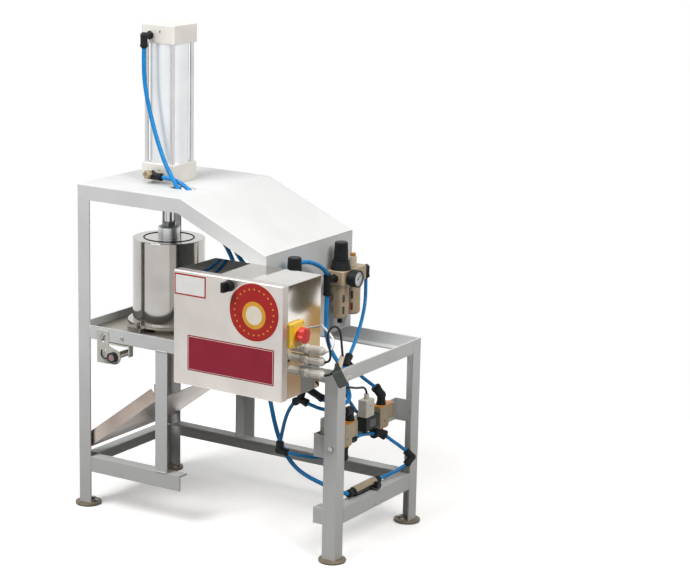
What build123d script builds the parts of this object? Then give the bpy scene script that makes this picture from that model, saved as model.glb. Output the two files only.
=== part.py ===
from build123d import *
import math
import os

os.makedirs("parts", exist_ok=True)

# Sizes in millimetres. X runs along the front, Y to the back, Z up from the floor.

# Welded frame of angle iron
frame_length = 860.0
frame_depth = 432.0
leg_flange = 40.0
angle_wall = 4.0
foot_radius = 37.5
foot_height = 8.0
foot_inset = 18.0
table_height = 532.0
table_rail_height = 38.0
table_rail_width = 34.0
bottom_rail_top = 147.0
bottom_rail_height = 44.0
bottom_rail_width = 36.0
front_rail_length = 312.0
front_stub_length = 30.0
post_from_left = 268.0
rail_hole_radius = 3.0

# Bridge cover, end plate and table plate
cover_height = 930.0
cover_wall = 3.0
cover_edge = 4.0
cover_bend_radius = 18.0
skirt_height = 43.0
bend_from_left = 350.0
end_from_left = 630.0
slope_drop = 122.0
end_flange_width = 25.0
table_thickness = 12.0
table_length = 516.0
tube_slot_length = 78.0
tube_slot_width = 42.0
tube_slot_x = -158.0
tube_slot_y = -94.0

# Ram cylinder
ram_from_left = 162.0
ram_from_front = 206.0
cap_width = 112.0
cap_height = 52.0
cap_corner = 7.0
cylinder_length = 334.0
cylinder_bore = 50.0
cylinder_wall = 3.5
tie_rod_spacing = 89.0
tie_rod_radius = 6.0
rod_radius = 12.5
nose_radius = 27.5
nose_length = 22.0
piston_height = 34.0
piston_top_gap = 60.0
port_offset = 24.0

# Plunger and barrel
plunger_radius = 72.6
plunger_height = 12.0
seal_height = 4.0
seal_depth = 3.5
hub_radius = 31.0
hub_height = 32.0
hub_socket = 24.0
nut_across = 36.0
nut_height = 13.0
barrel_height = 243.0
barrel_radius = 102.0
jacket_wall = 2.5
liner_bore = 73.0
liner_wall = 4.0
top_ring_height = 6.0
flange_radius = 116.0
flange_height = 8.0
barrel_foot_length = 56.0
barrel_foot_width = 42.0
barrel_foot_height = 12.0
barrel_foot_circle = 106.0
nozzle_disc_radius = 80.0
spout_bore = 28.0
spout_wall = 6.0
spout_drop = 17.5

# Cutter under the table
blade_width = 104.0
blade_length = 122.0
blade_height = 3.0
blade_gap = 1.0
blade_start = 36.0
blade_lug_drop = 22.0
blade_lug_wall = 6.0
guide_width = 16.0
guide_grip = 7.0
guide_length = 226.0
guide_height = 20.0
cutter_cylinder_radius = 15.0
cutter_cylinder_length = 136.0
cutter_bore = 12.5
cutter_end_wall = 8.0
cutter_rod_radius = 5.0
cutter_piston_length = 10.0
cutter_rod_gap = 46.0
cutter_saddle_length = 14.0
cutter_saddle_wall = 2.0

# Dough chute
chute_wall = 2.0
chute_side_height = 36.0
chute_side_gap = 10.0
chute_lip_from_left = 28.0
chute_lip_height = 170.0
chute_top_height = 350.0
chute_ear_width = 26.0
chute_ear_height = 44.0

# Ball sensor on the front rail
sensor_from_left = 127.0
sensor_drop = 40.0
sensor_head_radius = 14.5
sensor_radius = 9.5
sensor_length = 75.0
sensor_front = 17.0
sensor_lens_radius = 10.0
sensor_lobe_radius = 22.0
sensor_bracket_wall = 3.0
sensor_plate_width = 40.0
sensor_plate_offset = 59.0
sensor_plate_above = 30.0
sensor_plate_below = 23.0
sensor_shelf_end = 53.0
sensor_shelf_depth = 30.0
sensor_nut_across = 27.0
sensor_nut_height = 5.0
sensor_tail_radius = 2.6

# Control box
box_width = 340.0
box_depth = 184.0
box_height = 306.0
box_bottom = 478.0
box_from_right = 56.0
box_wall = 1.5
cover_return = 27.0
cover_slip = 0.4
box_corner = 4.0
gear_rail_depth = 7.5
gear_rail_height = 35.0
gland_inset = 122.0
gland_heights = (119.0, 91.0, 56.0)
gland_length = 55.0
gland_across = 24.0
selector_x = 178.0
selector_z = 287.0
selector_bezel = 15.0
stop_inset = 62.0
stop_z = 171.0
stop_plate = 66.0
stop_plate_height = 10.0
stop_button_radius = 22.0
stop_head_height = 16.0
stop_notch_radius = 14.0
stop_notch_depth = 3.0
stop_travel = 5.0
stop_collar_height = 2.0
stop_skirt_height = 2.5
stop_clearance = 0.5

# Air preparation on the end plate
unit_reach = 38.0
unit_body_width = 62.0
unit_body_depth = 58.0
unit_body_height = 40.0
unit_height = 702.0
filter_from_back = 119.0
line_regulator_from_front = 70.0
line_regulator_reach = 44.0
bonnet_radius = 29.0
bonnet_top_radius = 23.5
bonnet_height = 25.0
knob_radius = 20.5
knob_top_radius = 18.0
knob_height = 51.0
knob_gap = 1.0
knob_stem_radius = 8.0
knob_stem_length = 14.0
bowl_radius = 23.5
bowl_height = 97.0
bowl_round = 11.0
bowl_window_length = 23.0
bowl_window_width = 7.0
bowl_window_heights = (25.0, 58.0)
filter_window_turn = -35.0
lubricator_window_turn = -60.0
drain_radius = 7.0
drain_height = 14.0
gauge_radius = 24.0
gauge_depth = 26.0
gauge_stem = 5.0
gauge_recess = 5.0
dome_radius = 11.0
dome_height = 26.0

# Valve strip between the right legs
strip_bottom = 286.0
strip_height = 63.0
strip_wall = 3.0
strip_from_right = 74.0
strip_bolt_from_right = 16.5
valve_length = 72.0
valve_depth = 34.0
valve_height = 61.0
valve_lift = 11.0
valve_pitch = 192.0
front_valve_drop = 6.0
valve_foot_length = 44.0
valve_foot_height = 19.0
front_coil_gap = 16.0
coil_length = 71.0
coil_depth = 30.0
coil_height = 40.0
coil_lift = 19.0
coil_neck = 5.0
connector_length = 43.0
connector_depth = 28.0
connector_height = 48.0
connector_boss_height = 14.0

# Flow control on the right bottom rail
flow_from_right = 26.0
flow_lift = 15.0
flow_radius = 13.0
flow_front = -84.0
flow_back = 22.0
flow_knob_radius = 10.0
flow_knob_length = 14.0

# Tubes and cables
tube_radius = 6.0
small_tube_radius = 5.0
cable_radius = 3.0
lead_radius = 3.0
fitting_radius = 10.0
collar_radius = 11.0
collar_length = 7.0
fitting_across = 21.0
valve_fitting_scale = 1.25
fitting_hex_height = 7.0
tube_insert = 3.0
plug_length = 44.0
plug_width = 27.0
plug_depth = 24.0
plug_boot_radius = 9.5
plug_pin_length = 18.0

# Clearances
running_fit = 0.05
seal_fit = 0.08
turning_gap = 0.3
hole_clearance = 0.25
plate_gap = 0.5


def span(a, b):
    return (min(a, b), max(a, b))


def block(x, y, z):
    size = [high - low for low, high in (x, y, z)]
    centre = [(low + high) / 2 for low, high in (x, y, z)]
    return Pos(*centre) * Box(*size)


def axis_plane(start, end):
    return Plane(origin=start, z_dir=Vector(*end) - Vector(*start))


def bar(start, end, radius):
    length = (Vector(*end) - Vector(*start)).length
    base = Cylinder(radius, length, align=(Align.CENTER, Align.CENTER, Align.MIN))
    return axis_plane(start, end) * base


def cone(start, end, radius, end_radius):
    length = (Vector(*end) - Vector(*start)).length
    base = Cone(radius, end_radius, length, align=(Align.CENTER, Align.CENTER, Align.MIN))
    return axis_plane(start, end) * base


def hexagon(start, end, across):
    length = (Vector(*end) - Vector(*start)).length
    outline = RegularPolygon(across / 2, 6, major_radius=False)
    return axis_plane(start, end) * extrude(outline, length)


def toward(start, end, reach):
    a, b = Vector(*start), Vector(*end)
    return tuple(a + (b - a).normalized() * reach)


def side_profile(points, y):
    # Solid with an outline in X and Z, between two depths.
    outline = Plane.XZ * make_face(Polyline(*points, close=True))
    solid = extrude(outline, (y[1] - y[0]) / 2, both=True)
    return Pos(0, (y[0] + y[1]) / 2, 0) * solid


def angle_bar(axis, along, corner, sides, reach):
    # Angle iron with its outer corner on a line, its flanges going to the given sides.
    def plate(first_reach, second_reach):
        ranges = [
            span(corner[0], corner[0] + sides[0] * first_reach),
            span(corner[1], corner[1] + sides[1] * second_reach),
        ]
        ranges.insert("xyz".index(axis), along)
        return block(*ranges)

    return plate(reach[0], angle_wall) + plate(angle_wall, reach[1])


def ribbed(solid, start, end, radii, count, groove):
    # Grip grooves along a turned knob, following its taper.
    plane = axis_plane(start, end)
    length = (Vector(*end) - Vector(*start)).length
    low, high = [radius + 0.35 * groove for radius in radii]
    cut = bar((low, 0, 0), (high, 0, length), groove)
    for n in range(count):
        solid -= plane * (Rot(0, 0, 360 / count * n) * cut)
    return solid


def fitting(corner, ends, port=None, scale=1.0):
    # Push-in tube fitting: arms from a rounded corner, each ending in a collar.
    radius = fitting_radius * scale
    body = Pos(*corner) * Sphere(radius * 1.06)
    for end in ends:
        body += bar(corner, end, radius)
        body += bar(toward(end, corner, collar_length), end, collar_radius * scale)
    if port is not None:
        body += bar(port, corner, radius * 0.92)
        body += hexagon(port, toward(port, corner, fitting_hex_height), fitting_across * scale)
    return body


def bolt(head, tip, across, head_height, shank, nut_start):
    # Hexagon bolt with its nut, its head seated at the first point.
    outer = toward(head, tip, -head_height)
    solid = hexagon(outer, head, across) + bar(head, tip, shank)
    if nut_start is not None:
        solid += hexagon(nut_start, toward(nut_start, tip, head_height), across)
    return solid


def hose(points, radius):
    # Round tube along straight runs joined by tangent arcs, pushed a little into what holds its ends.
    first = toward(points[0], points[1], -tube_insert)
    last = toward(points[-1], points[-2], -tube_insert)
    points = [first, *points[1:-1], last]
    vectors = [Vector(*p) for p in points]
    radii = []
    for a, b, c in zip(vectors, vectors[1:], vectors[2:]):
        turn = (b - a).get_angle(c - b)
        run = min((b - a).length, (c - b).length)
        radii.append(0.45 * run / math.tan(math.radians(turn) / 2))
    path = FilletPolyline(*points, radius=radii)
    return sweep(axis_plane(points[0], points[1]) * Circle(radius), path=path)


def save(name, *pieces):
    solids = [solid for piece in pieces for solid in piece.solids()]
    shape = solids[0] if len(solids) == 1 else Compound(children=solids)
    export_step(shape, f"parts/{name}.step")


# Planes that the pieces share
left, right = -frame_length / 2, frame_length / 2
front, back = -frame_depth / 2, frame_depth / 2
inner_front, inner_back = front + angle_wall, back - angle_wall
rail_bottom = table_height - table_rail_height
table_seat = rail_bottom + angle_wall
table_top = table_seat + table_thickness
skirt_bottom = cover_height - skirt_height
bend_x = left + bend_from_left
end_x = left + end_from_left
post_x = left + post_from_left
ram_x = left + ram_from_left
ram_y = front + ram_from_front

# Legs and chute posts
strip_bolt_x = right - strip_bolt_from_right
strip_bolt_z = strip_bottom + strip_height / 2
bolt_hole = 4.0 + hole_clearance
chute_bolt_z = chute_top_height + chute_ear_height / 2
chute_bolt_y = chute_side_gap + chute_ear_width / 2 + 3.0
legs = [
    angle_bar("z", (foot_height, skirt_bottom), (left, front), (1, 1), (leg_flange, leg_flange)),
    angle_bar("z", (foot_height, skirt_bottom), (left, back), (1, -1), (leg_flange, leg_flange)),
    angle_bar("z", (foot_height, table_height), (right, front), (-1, 1), (leg_flange, leg_flange)),
    angle_bar("z", (foot_height, table_height), (right, back), (-1, -1), (leg_flange, leg_flange)),
]
for n, y in ((2, (front - 1, inner_front + 1)), (3, (inner_back - 1, back + 1))):
    legs[n] -= bar((strip_bolt_x, y[0], strip_bolt_z), (strip_bolt_x, y[1], strip_bolt_z), bolt_hole)
posts = [
    angle_bar("z", (bottom_rail_top, rail_bottom), (post_x, front), (1, 1), (leg_flange, leg_flange)),
    angle_bar("z", (bottom_rail_top, rail_bottom), (post_x, back), (1, -1), (leg_flange, leg_flange)),
]
for n, y in enumerate((front + chute_bolt_y, back - chute_bolt_y)):
    posts[n] -= bar((post_x - 1, y, chute_bolt_z), (post_x + angle_wall + 1, y, chute_bolt_z), bolt_hole)
save("frame_uprights", *legs, *posts)

# Rails around the table, their lower flange inward
between_legs_x = (left + leg_flange, right - leg_flange)
between_legs_y = (front + leg_flange, back - leg_flange)
table_rail = (table_rail_width, table_rail_height)
sensor_x = left + sensor_from_left
sensor_height = rail_bottom - sensor_drop
sensor_bolt_x = sensor_x - sensor_plate_offset + sensor_plate_width / 2
sensor_bolt_z = rail_bottom + 14.0
box_right = right - box_from_right
box_left = box_right - box_width
box_top = box_bottom + box_height
box_bolt_z = rail_bottom + 18.0
box_bolts_x = (box_left + 60.0, box_right - 60.0)
front_rail = angle_bar("x", between_legs_x, (front, rail_bottom), (1, 1), table_rail)
for x, z in [(sensor_bolt_x, sensor_bolt_z)] + [(x, box_bolt_z) for x in box_bolts_x]:
    front_rail -= bar((x, front - 1, z), (x, inner_front + 1, z), bolt_hole)
save(
    "table_rails",
    front_rail,
    angle_bar("x", between_legs_x, (back, rail_bottom), (-1, 1), table_rail),
    angle_bar("y", between_legs_y, (left, rail_bottom), (1, 1), table_rail),
    angle_bar("y", between_legs_y, (right, rail_bottom), (-1, 1), table_rail),
)

# Rails near the floor, their upper flange inward, the front one open for the operator
low_rail = (bottom_rail_width, bottom_rail_height)
front_piece = (left + leg_flange, left + leg_flange + front_rail_length)
front_stub = (right - leg_flange - front_stub_length, right - leg_flange)
right_rail = angle_bar("y", between_legs_y, (right, bottom_rail_top), (-1, -1), low_rail)
for y in (-12.0, 22.0):
    z = bottom_rail_top - bottom_rail_height + 7.0
    right_rail -= bar((right - angle_wall - 1, y, z), (right + 1, y, z), rail_hole_radius)
save(
    "bottom_rails",
    angle_bar("x", front_piece, (front, bottom_rail_top), (1, -1), low_rail),
    angle_bar("x", front_stub, (front, bottom_rail_top), (1, -1), low_rail),
    angle_bar("x", between_legs_x, (back, bottom_rail_top), (-1, -1), low_rail),
    angle_bar("y", between_legs_y, (left, bottom_rail_top), (1, -1), low_rail),
    right_rail,
)

# Round feet under the legs
foot_centres = [
    (left + foot_inset, front + foot_inset),
    (left + foot_inset, back - foot_inset),
    (right - foot_inset, front + foot_inset),
    (right - foot_inset, back - foot_inset),
]
feet = []
for x, y in foot_centres:
    disc = bar((x, y, 0), (x, y, foot_height), foot_radius)
    feet.append(fillet(disc.edges().filter_by(GeomType.CIRCLE), 2.5))
save("foot_discs", *feet)

# Bridge cover: bent sheet with skirts that stand on the tall legs
slope = math.atan2(slope_drop, end_x - bend_x)
end_z = cover_height - slope_drop
skirt_drop = skirt_height / math.cos(slope)


def under_slope(x, depth):
    return cover_height - depth / math.cos(slope) - math.tan(slope) * (x - bend_x)


def bend_shift(depth):
    return bend_x - depth * (1 / math.cos(slope) - 1) / math.tan(slope)


outside = side_profile(
    [
        (left, skirt_bottom),
        (left, cover_height),
        (bend_x, cover_height),
        (end_x, end_z),
        (end_x, end_z - skirt_drop),
        (bend_shift(skirt_height), skirt_bottom),
    ],
    (front, back),
)
bend_edge = outside.edges().filter_by(Axis.Y).sort_by_distance((bend_x, 0, cover_height))[0]
outside = fillet(bend_edge, cover_bend_radius)
upper_faces = [f for f in outside.faces() if f.normal_at().Z > 0.3]
rim = [
    e
    for f in upper_faces
    for e in f.edges()
    if e.center().Y < front + 0.1 or e.center().Y > back - 0.1 or e.center().X < left + 0.1
]
outside = fillet(rim, cover_edge)
low = skirt_bottom - 300.0
inside = side_profile(
    [
        (left + cover_wall, low),
        (left + cover_wall, cover_height - cover_wall),
        (bend_shift(cover_wall), cover_height - cover_wall),
        (end_x + 10, under_slope(end_x + 10, cover_wall)),
        (end_x + 10, low),
    ],
    (front + cover_wall, back - cover_wall),
)
plate_seat = side_profile(
    [
        (end_x - cover_wall, low),
        (end_x - cover_wall, under_slope(end_x - cover_wall, cover_wall)),
        (end_x + 5, under_slope(end_x + 5, cover_wall)),
        (end_x + 5, low),
    ],
    (front - 5, back + 5),
)
bridge = outside - inside - plate_seat
sheet = (cover_height - cover_wall - 2, cover_height + 2)
bridge -= bar((ram_x, ram_y, sheet[0]), (ram_x, ram_y, sheet[1]), nose_radius + hole_clearance)
tie_half = tie_rod_spacing / 2
tie_points = [(ram_x + a * tie_half, ram_y + b * tie_half) for a in (-1, 1) for b in (-1, 1)]
for x, y in tie_points:
    bridge -= bar((x, y, sheet[0]), (x, y, sheet[1]), tie_rod_radius + hole_clearance)
slot = extrude(SlotOverall(tube_slot_length, tube_slot_width), sheet[1] - sheet[0])
bridge -= Pos(tube_slot_x, tube_slot_y, sheet[0]) * slot
save("bridge_cover", bridge)

# Air unit positions on the end plate
unit_x = end_x + unit_reach
line_x = end_x + line_regulator_reach
filter_y = back - filter_from_back
lubricator_y = filter_y + unit_body_width
line_y = front + line_regulator_from_front
half_unit = unit_body_width / 2
unit_bottom = unit_height - unit_body_height / 2
unit_top = unit_height + unit_body_height / 2
bulkhead_y = line_y + half_unit + 22.0
grommet_y, grommet_z = front + 56.0, unit_bottom - 42.0

# End plate under the low end of the bridge, standing on the table rails
plate_top = under_slope(end_x, cover_wall)
end_plate = block((end_x - cover_wall, end_x), (front, back), (table_height, plate_top))
end_plate += block(
    (end_x - cover_wall - end_flange_width, end_x - cover_wall),
    (front, back),
    (table_height, table_height + cover_wall),
)
plate_x = (end_x - cover_wall - 1, end_x + 1)
unit_screws = [(y, unit_height + dz) for y in (filter_y, line_y) for dz in (-10.0, 10.0)]
plate_holes = [(y, z, 3.0 + hole_clearance) for y, z in unit_screws]
plate_holes.append((bulkhead_y, unit_height, fitting_radius + 1.5))
plate_holes.append((grommet_y, grommet_z, cable_radius + 1.5))
for y, z, radius in plate_holes:
    end_plate -= bar((plate_x[0], y, z), (plate_x[1], y, z), radius)
save("end_plate", end_plate)

# Table plate on the lower flanges of the table rails
table_x = (left + angle_wall + plate_gap, left + angle_wall + plate_gap + table_length)
table = block(table_x, (inner_front + plate_gap, inner_back - plate_gap), (table_seat, table_top))
spout_outer = spout_bore + spout_wall
table -= bar((ram_x, ram_y, table_seat - 1), (ram_x, ram_y, table_top + 1), spout_outer + hole_clearance)
save("table_plate", table)

# Ram cylinder
front_cap_top = cover_height + cap_height
rear_cap_bottom = front_cap_top + cylinder_length
rear_cap_top = rear_cap_bottom + cap_height
cap_x = (ram_x - cap_width / 2, ram_x + cap_width / 2)
cap_y = (ram_y - cap_width / 2, ram_y + cap_width / 2)
cap_front = cap_y[0]


def cap(z):
    solid = block(cap_x, cap_y, z)
    solid = fillet(solid.edges().filter_by(Axis.Z), cap_corner)
    solid = chamfer(solid.faces().filter_by(Axis.Z).edges(), 1.2)
    for x, y in tie_points:
        solid -= bar((x, y, z[0] - 1), (x, y, z[1] + 1), tie_rod_radius + hole_clearance)
    middle = (z[0] + z[1]) / 2
    solid -= bar((ram_x + 8, cap_front - 1, middle + 6), (ram_x + 8, cap_front + 5, middle + 6), 4.0)
    return solid


front_cap = cap((cover_height, front_cap_top))
front_cap += bar((ram_x, ram_y, cover_height - nose_length), (ram_x, ram_y, cover_height + 1), nose_radius)
rod_bore = rod_radius + running_fit
front_cap -= bar((ram_x, ram_y, cover_height - 100), (ram_x, ram_y, front_cap_top + 1), rod_bore)
save("ram_front_cap", front_cap)
tube = bar((ram_x, ram_y, front_cap_top), (ram_x, ram_y, rear_cap_bottom), cylinder_bore + cylinder_wall)
tube -= bar((ram_x, ram_y, front_cap_top - 1), (ram_x, ram_y, rear_cap_bottom + 1), cylinder_bore)
save("ram_tube", tube)
save("ram_rear_cap", cap((rear_cap_bottom, rear_cap_top)))
tie_rods = []
for x, y in tie_points:
    stud = bar((x, y, cover_height - 20), (x, y, rear_cap_top - 5), tie_rod_radius)
    under = cover_height - cover_wall
    stud += hexagon((x, y, under - 10), (x, y, under), 19.0)
    tie_rods.append(stud)
save("ram_tie_rods", *tie_rods)

# Ram: piston, rod, jam nut and plunger
barrel_bottom = table_top + barrel_foot_height
barrel_top = barrel_bottom + barrel_height
plunger_bottom = barrel_top - plunger_height
hub_top = barrel_top + hub_height
piston_top = rear_cap_bottom - piston_top_gap
piston_bottom = piston_top - piston_height
rod_end = hub_top - hub_socket
piston = bar((ram_x, ram_y, piston_bottom), (ram_x, ram_y, piston_top), cylinder_bore - running_fit)
piston -= bar((ram_x, ram_y, piston_bottom - 1), (ram_x, ram_y, piston_top + 1), rod_radius)
save("ram_piston", piston)
rod = bar((ram_x, ram_y, rod_end), (ram_x, ram_y, piston_top), rod_radius)
save("ram_rod", rod)
jam_nut = hexagon((ram_x, ram_y, hub_top), (ram_x, ram_y, hub_top + nut_height), nut_across)
jam_nut -= bar((ram_x, ram_y, hub_top - 1), (ram_x, ram_y, hub_top + nut_height + 1), rod_radius)
save("rod_nut", jam_nut)
hub = bar((ram_x, ram_y, barrel_top), (ram_x, ram_y, hub_top), hub_radius)
hub = fillet(hub.faces().sort_by(Axis.Z)[-1].edges(), 3.0)
hub -= bar((ram_x, ram_y, rod_end), (ram_x, ram_y, hub_top + 1), rod_radius)
save("plunger_hub", hub)
seal_z = (plunger_bottom + 4.0, plunger_bottom + 4.0 + seal_height)
seal_outer = liner_bore - seal_fit
seal_inner = plunger_radius - seal_depth
groove = bar((ram_x, ram_y, seal_z[0]), (ram_x, ram_y, seal_z[1]), plunger_radius + 5)
groove -= bar((ram_x, ram_y, seal_z[0] - 1), (ram_x, ram_y, seal_z[1] + 1), seal_inner)
plunger = bar((ram_x, ram_y, plunger_bottom), (ram_x, ram_y, barrel_top), plunger_radius) - groove
save("plunger_disc", plunger)
seal = bar((ram_x, ram_y, seal_z[0]), (ram_x, ram_y, seal_z[1]), seal_outer)
seal -= bar((ram_x, ram_y, seal_z[0] - 1), (ram_x, ram_y, seal_z[1] + 1), seal_inner)
save("plunger_seal", seal)

# Barrel: jacket with its top ring and base flange around the liner
liner_outer = liner_bore + liner_wall
flange_top = barrel_bottom + flange_height
ring_bottom = barrel_top - top_ring_height
jacket = bar((ram_x, ram_y, barrel_bottom), (ram_x, ram_y, flange_top), flange_radius)
jacket += bar((ram_x, ram_y, barrel_bottom), (ram_x, ram_y, barrel_top), barrel_radius)
jacket = fillet(jacket.faces().sort_by(Axis.Z)[-1].edges(), 2.0)
hollow = bar((ram_x, ram_y, flange_top), (ram_x, ram_y, ring_bottom), barrel_radius - jacket_wall)
jacket -= hollow
jacket -= bar((ram_x, ram_y, barrel_bottom - 1), (ram_x, ram_y, barrel_top + 1), liner_outer + running_fit)
foot_turns = [-105.0, 15.0, 135.0]
flange_bolt_circle = (barrel_radius + flange_radius) / 2
flange_bolts = []
for turn in foot_turns:
    a = math.radians(turn)
    flange_bolts.append((ram_x + flange_bolt_circle * math.cos(a), ram_y + flange_bolt_circle * math.sin(a)))
small_hole = 2.5 + hole_clearance
for x, y in flange_bolts:
    jacket -= bar((x, y, barrel_bottom - 1), (x, y, flange_top + 1), small_hole)
save("barrel_jacket", jacket)
liner = bar((ram_x, ram_y, barrel_bottom), (ram_x, ram_y, barrel_top), liner_outer)
liner -= bar((ram_x, ram_y, barrel_bottom - 1), (ram_x, ram_y, barrel_top + 1), liner_bore)
save("barrel_liner", liner)
barrel_feet = []
for turn, (x, y) in zip(foot_turns, flange_bolts):
    foot = Box(barrel_foot_width, barrel_foot_length, barrel_foot_height)
    foot = fillet(foot.edges().filter_by(Axis.Z), 2.0)
    a = math.radians(turn)
    centre = (ram_x + barrel_foot_circle * math.cos(a), ram_y + barrel_foot_circle * math.sin(a))
    foot = Pos(centre[0], centre[1], table_top + barrel_foot_height / 2) * (Rot(0, 0, turn) * foot)
    barrel_feet.append(foot - bar((x, y, table_top + 1), (x, y, barrel_bottom + 1), small_hole))
save("barrel_feet", *barrel_feet)

# Nozzle plate under the barrel with its funnel and spout
spout_end = table_top - spout_drop
nozzle = bar((ram_x, ram_y, table_top), (ram_x, ram_y, barrel_bottom), nozzle_disc_radius)
nozzle += bar((ram_x, ram_y, spout_end), (ram_x, ram_y, barrel_bottom), spout_outer)
nozzle -= bar((ram_x, ram_y, spout_end - 1), (ram_x, ram_y, barrel_bottom + 1), spout_bore)
nozzle -= cone((ram_x, ram_y, table_top - 4), (ram_x, ram_y, barrel_bottom), spout_bore, liner_bore)
save("nozzle_plate", nozzle)

# Cutter blade, its guides and its air cylinder
blade_top = spout_end - blade_gap
blade_bottom = blade_top - blade_height
blade_left = ram_x + blade_start
blade_right = blade_left + blade_length
half_blade = blade_width / 2
lug_z = blade_top - blade_lug_drop
rod_z = (lug_z + blade_bottom) / 2
blade = block((blade_left, blade_right), (ram_y - half_blade, ram_y + half_blade), (blade_bottom, blade_top))
lug_x = (blade_right - blade_lug_wall, blade_right)
blade += block(lug_x, (ram_y - 14, ram_y + 14), (lug_z, blade_bottom + 1))
edge = [(blade_left, blade_bottom), (blade_left + 8, blade_bottom), (blade_left, blade_top - 0.4)]
blade -= side_profile(edge, (ram_y - blade_width, ram_y + blade_width))
save("cutter_blade", blade)
guides = []
guide_x = (ram_x - 62.0, ram_x - 62.0 + guide_length)
for side in (-1, 1):
    inner = ram_y + side * (half_blade - guide_grip)
    guide = block(guide_x, span(inner, inner + side * guide_width), (table_seat - guide_height, table_seat))
    slot_y = span(inner - side, inner + side * (guide_grip + turning_gap))
    slot_z = (blade_bottom - turning_gap, blade_top + turning_gap)
    guides.append(guide - block((guide_x[0] - 1, guide_x[1] + 1), slot_y, slot_z))
save("cutter_guides", *guides)
cutter_x = (blade_right + cutter_rod_gap, blade_right + cutter_rod_gap + cutter_cylinder_length)
cutter_inner = (cutter_x[0] + cutter_end_wall, cutter_x[1] - cutter_end_wall)
small_cylinder = bar((cutter_x[0], ram_y, rod_z), (cutter_x[1], ram_y, rod_z), cutter_cylinder_radius)
saddle_half = cutter_cylinder_radius + cutter_saddle_wall
saddle_inset = 2 * cutter_saddle_wall
for x in (cutter_x[0] + saddle_inset, cutter_x[1] - saddle_inset - cutter_saddle_length):
    saddle_y = (ram_y - saddle_half, ram_y + saddle_half)
    small_cylinder += block((x, x + cutter_saddle_length), saddle_y, (rod_z - saddle_half, table_seat))
small_cylinder -= bar((cutter_inner[0], ram_y, rod_z), (cutter_inner[1], ram_y, rod_z), cutter_bore)
rod_hole = cutter_rod_radius + running_fit
small_cylinder -= bar((cutter_x[0] - 1, ram_y, rod_z), (cutter_inner[0] + 1, ram_y, rod_z), rod_hole)
save("cutter_cylinder", small_cylinder)
piston_end = cutter_inner[1] - 2.0
cutter_rod = bar((blade_right, ram_y, rod_z), (piston_end, ram_y, rod_z), cutter_rod_radius)
cutter_rod += bar(
    (piston_end - cutter_piston_length, ram_y, rod_z), (piston_end, ram_y, rod_z), cutter_bore - running_fit
)
save("cutter_rod", cutter_rod)

# Dough chute, sloping down to the left, its ears on the posts
lip_x = left + chute_lip_from_left
head_x = post_x - chute_wall
chute_turn = math.atan2(chute_top_height - chute_lip_height, head_x - lip_x)
rise = (-math.sin(chute_turn), math.cos(chute_turn))
chute_y = (front + chute_side_gap, back - chute_side_gap)


def chute_sheet(height, y):
    raised = [(x + rise[0] * height, z + rise[1] * height) for x, z in chute_ends]
    return side_profile([chute_ends[0], chute_ends[1], raised[1], raised[0]], y)


root_x = post_x - chute_wall / 2
root_z = chute_top_height + math.tan(chute_turn) * (root_x - head_x)
chute_ends = [(lip_x, chute_lip_height), (root_x, root_z)]
chute = chute_sheet(chute_wall, chute_y)
for side_y, ear_y, bolt_y in (
    ((chute_y[0], chute_y[0] + chute_wall), (chute_y[0], chute_y[0] + chute_ear_width), front + chute_bolt_y),
    ((chute_y[1] - chute_wall, chute_y[1]), (chute_y[1] - chute_ear_width, chute_y[1]), back - chute_bolt_y),
):
    chute += chute_sheet(chute_side_height, side_y)
    ear_z = (chute_top_height - 4.0, chute_top_height + chute_ear_height)
    chute += block((head_x, post_x), ear_y, ear_z)
    chute += block((head_x - 10.0, post_x), side_y, ear_z)
    chute -= bar((head_x - 1, bolt_y, chute_bolt_z), (post_x + 1, bolt_y, chute_bolt_z), bolt_hole)
save("dough_chute", chute)

# Sensor bracket and ball sensor
plate_left = sensor_x - sensor_plate_offset
plate_x_range = (plate_left, plate_left + sensor_plate_width)
bracket_y = (front - sensor_bracket_wall, front)
bracket_z = (sensor_height - sensor_plate_below, rail_bottom + sensor_plate_above)
bracket = block(plate_x_range, bracket_y, bracket_z)
tab_x = plate_x_range[1] - 2 * sensor_bracket_wall
shelf_z = (rail_bottom - 2 * sensor_bracket_wall, rail_bottom - sensor_bracket_wall)
shelf_x = sensor_x + sensor_shelf_end
bracket += bar((sensor_x, bracket_y[0], sensor_height), (sensor_x, front, sensor_height), sensor_lobe_radius)
lobe_z = (sensor_height - sensor_lobe_radius, sensor_height + sensor_lobe_radius)
shoulder = [
    (tab_x, lobe_z[0]), (sensor_x, lobe_z[0]), (sensor_x, lobe_z[1]), (tab_x, lobe_z[1] + sensor_drop / 4),
]
bracket += side_profile(shoulder, bracket_y)
bracket += block((tab_x, shelf_x), (bracket_y[0], front + sensor_shelf_depth), shelf_z)
lip_z = (sensor_height + sensor_drop / 6, shelf_z[1])
lip_y = (bracket_y[0], front + sensor_shelf_depth / 2)
bracket += block((shelf_x - sensor_bracket_wall, shelf_x), lip_y, lip_z)
for x, z, radius in (
    (sensor_x, sensor_height, sensor_radius + running_fit),
    (sensor_bolt_x + sensor_plate_width / 5, sensor_height + 0.4 * sensor_drop, sensor_plate_width / 13),
):
    bracket -= bar((x, front - 20, z), (x, front + 20, z), radius)
slot = extrude(Plane.XZ * SlotOverall(26.0, 2 * bolt_hole, rotation=90), 20, both=True)
bracket -= Pos(sensor_bolt_x, front, sensor_bolt_z - 6.0) * slot
save("sensor_bracket", bracket)
sensor_y = (front - sensor_front, front - sensor_front + sensor_length)


def along_sensor(start, end):
    return (sensor_x, start, sensor_height), (sensor_x, end, sensor_height)


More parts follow.
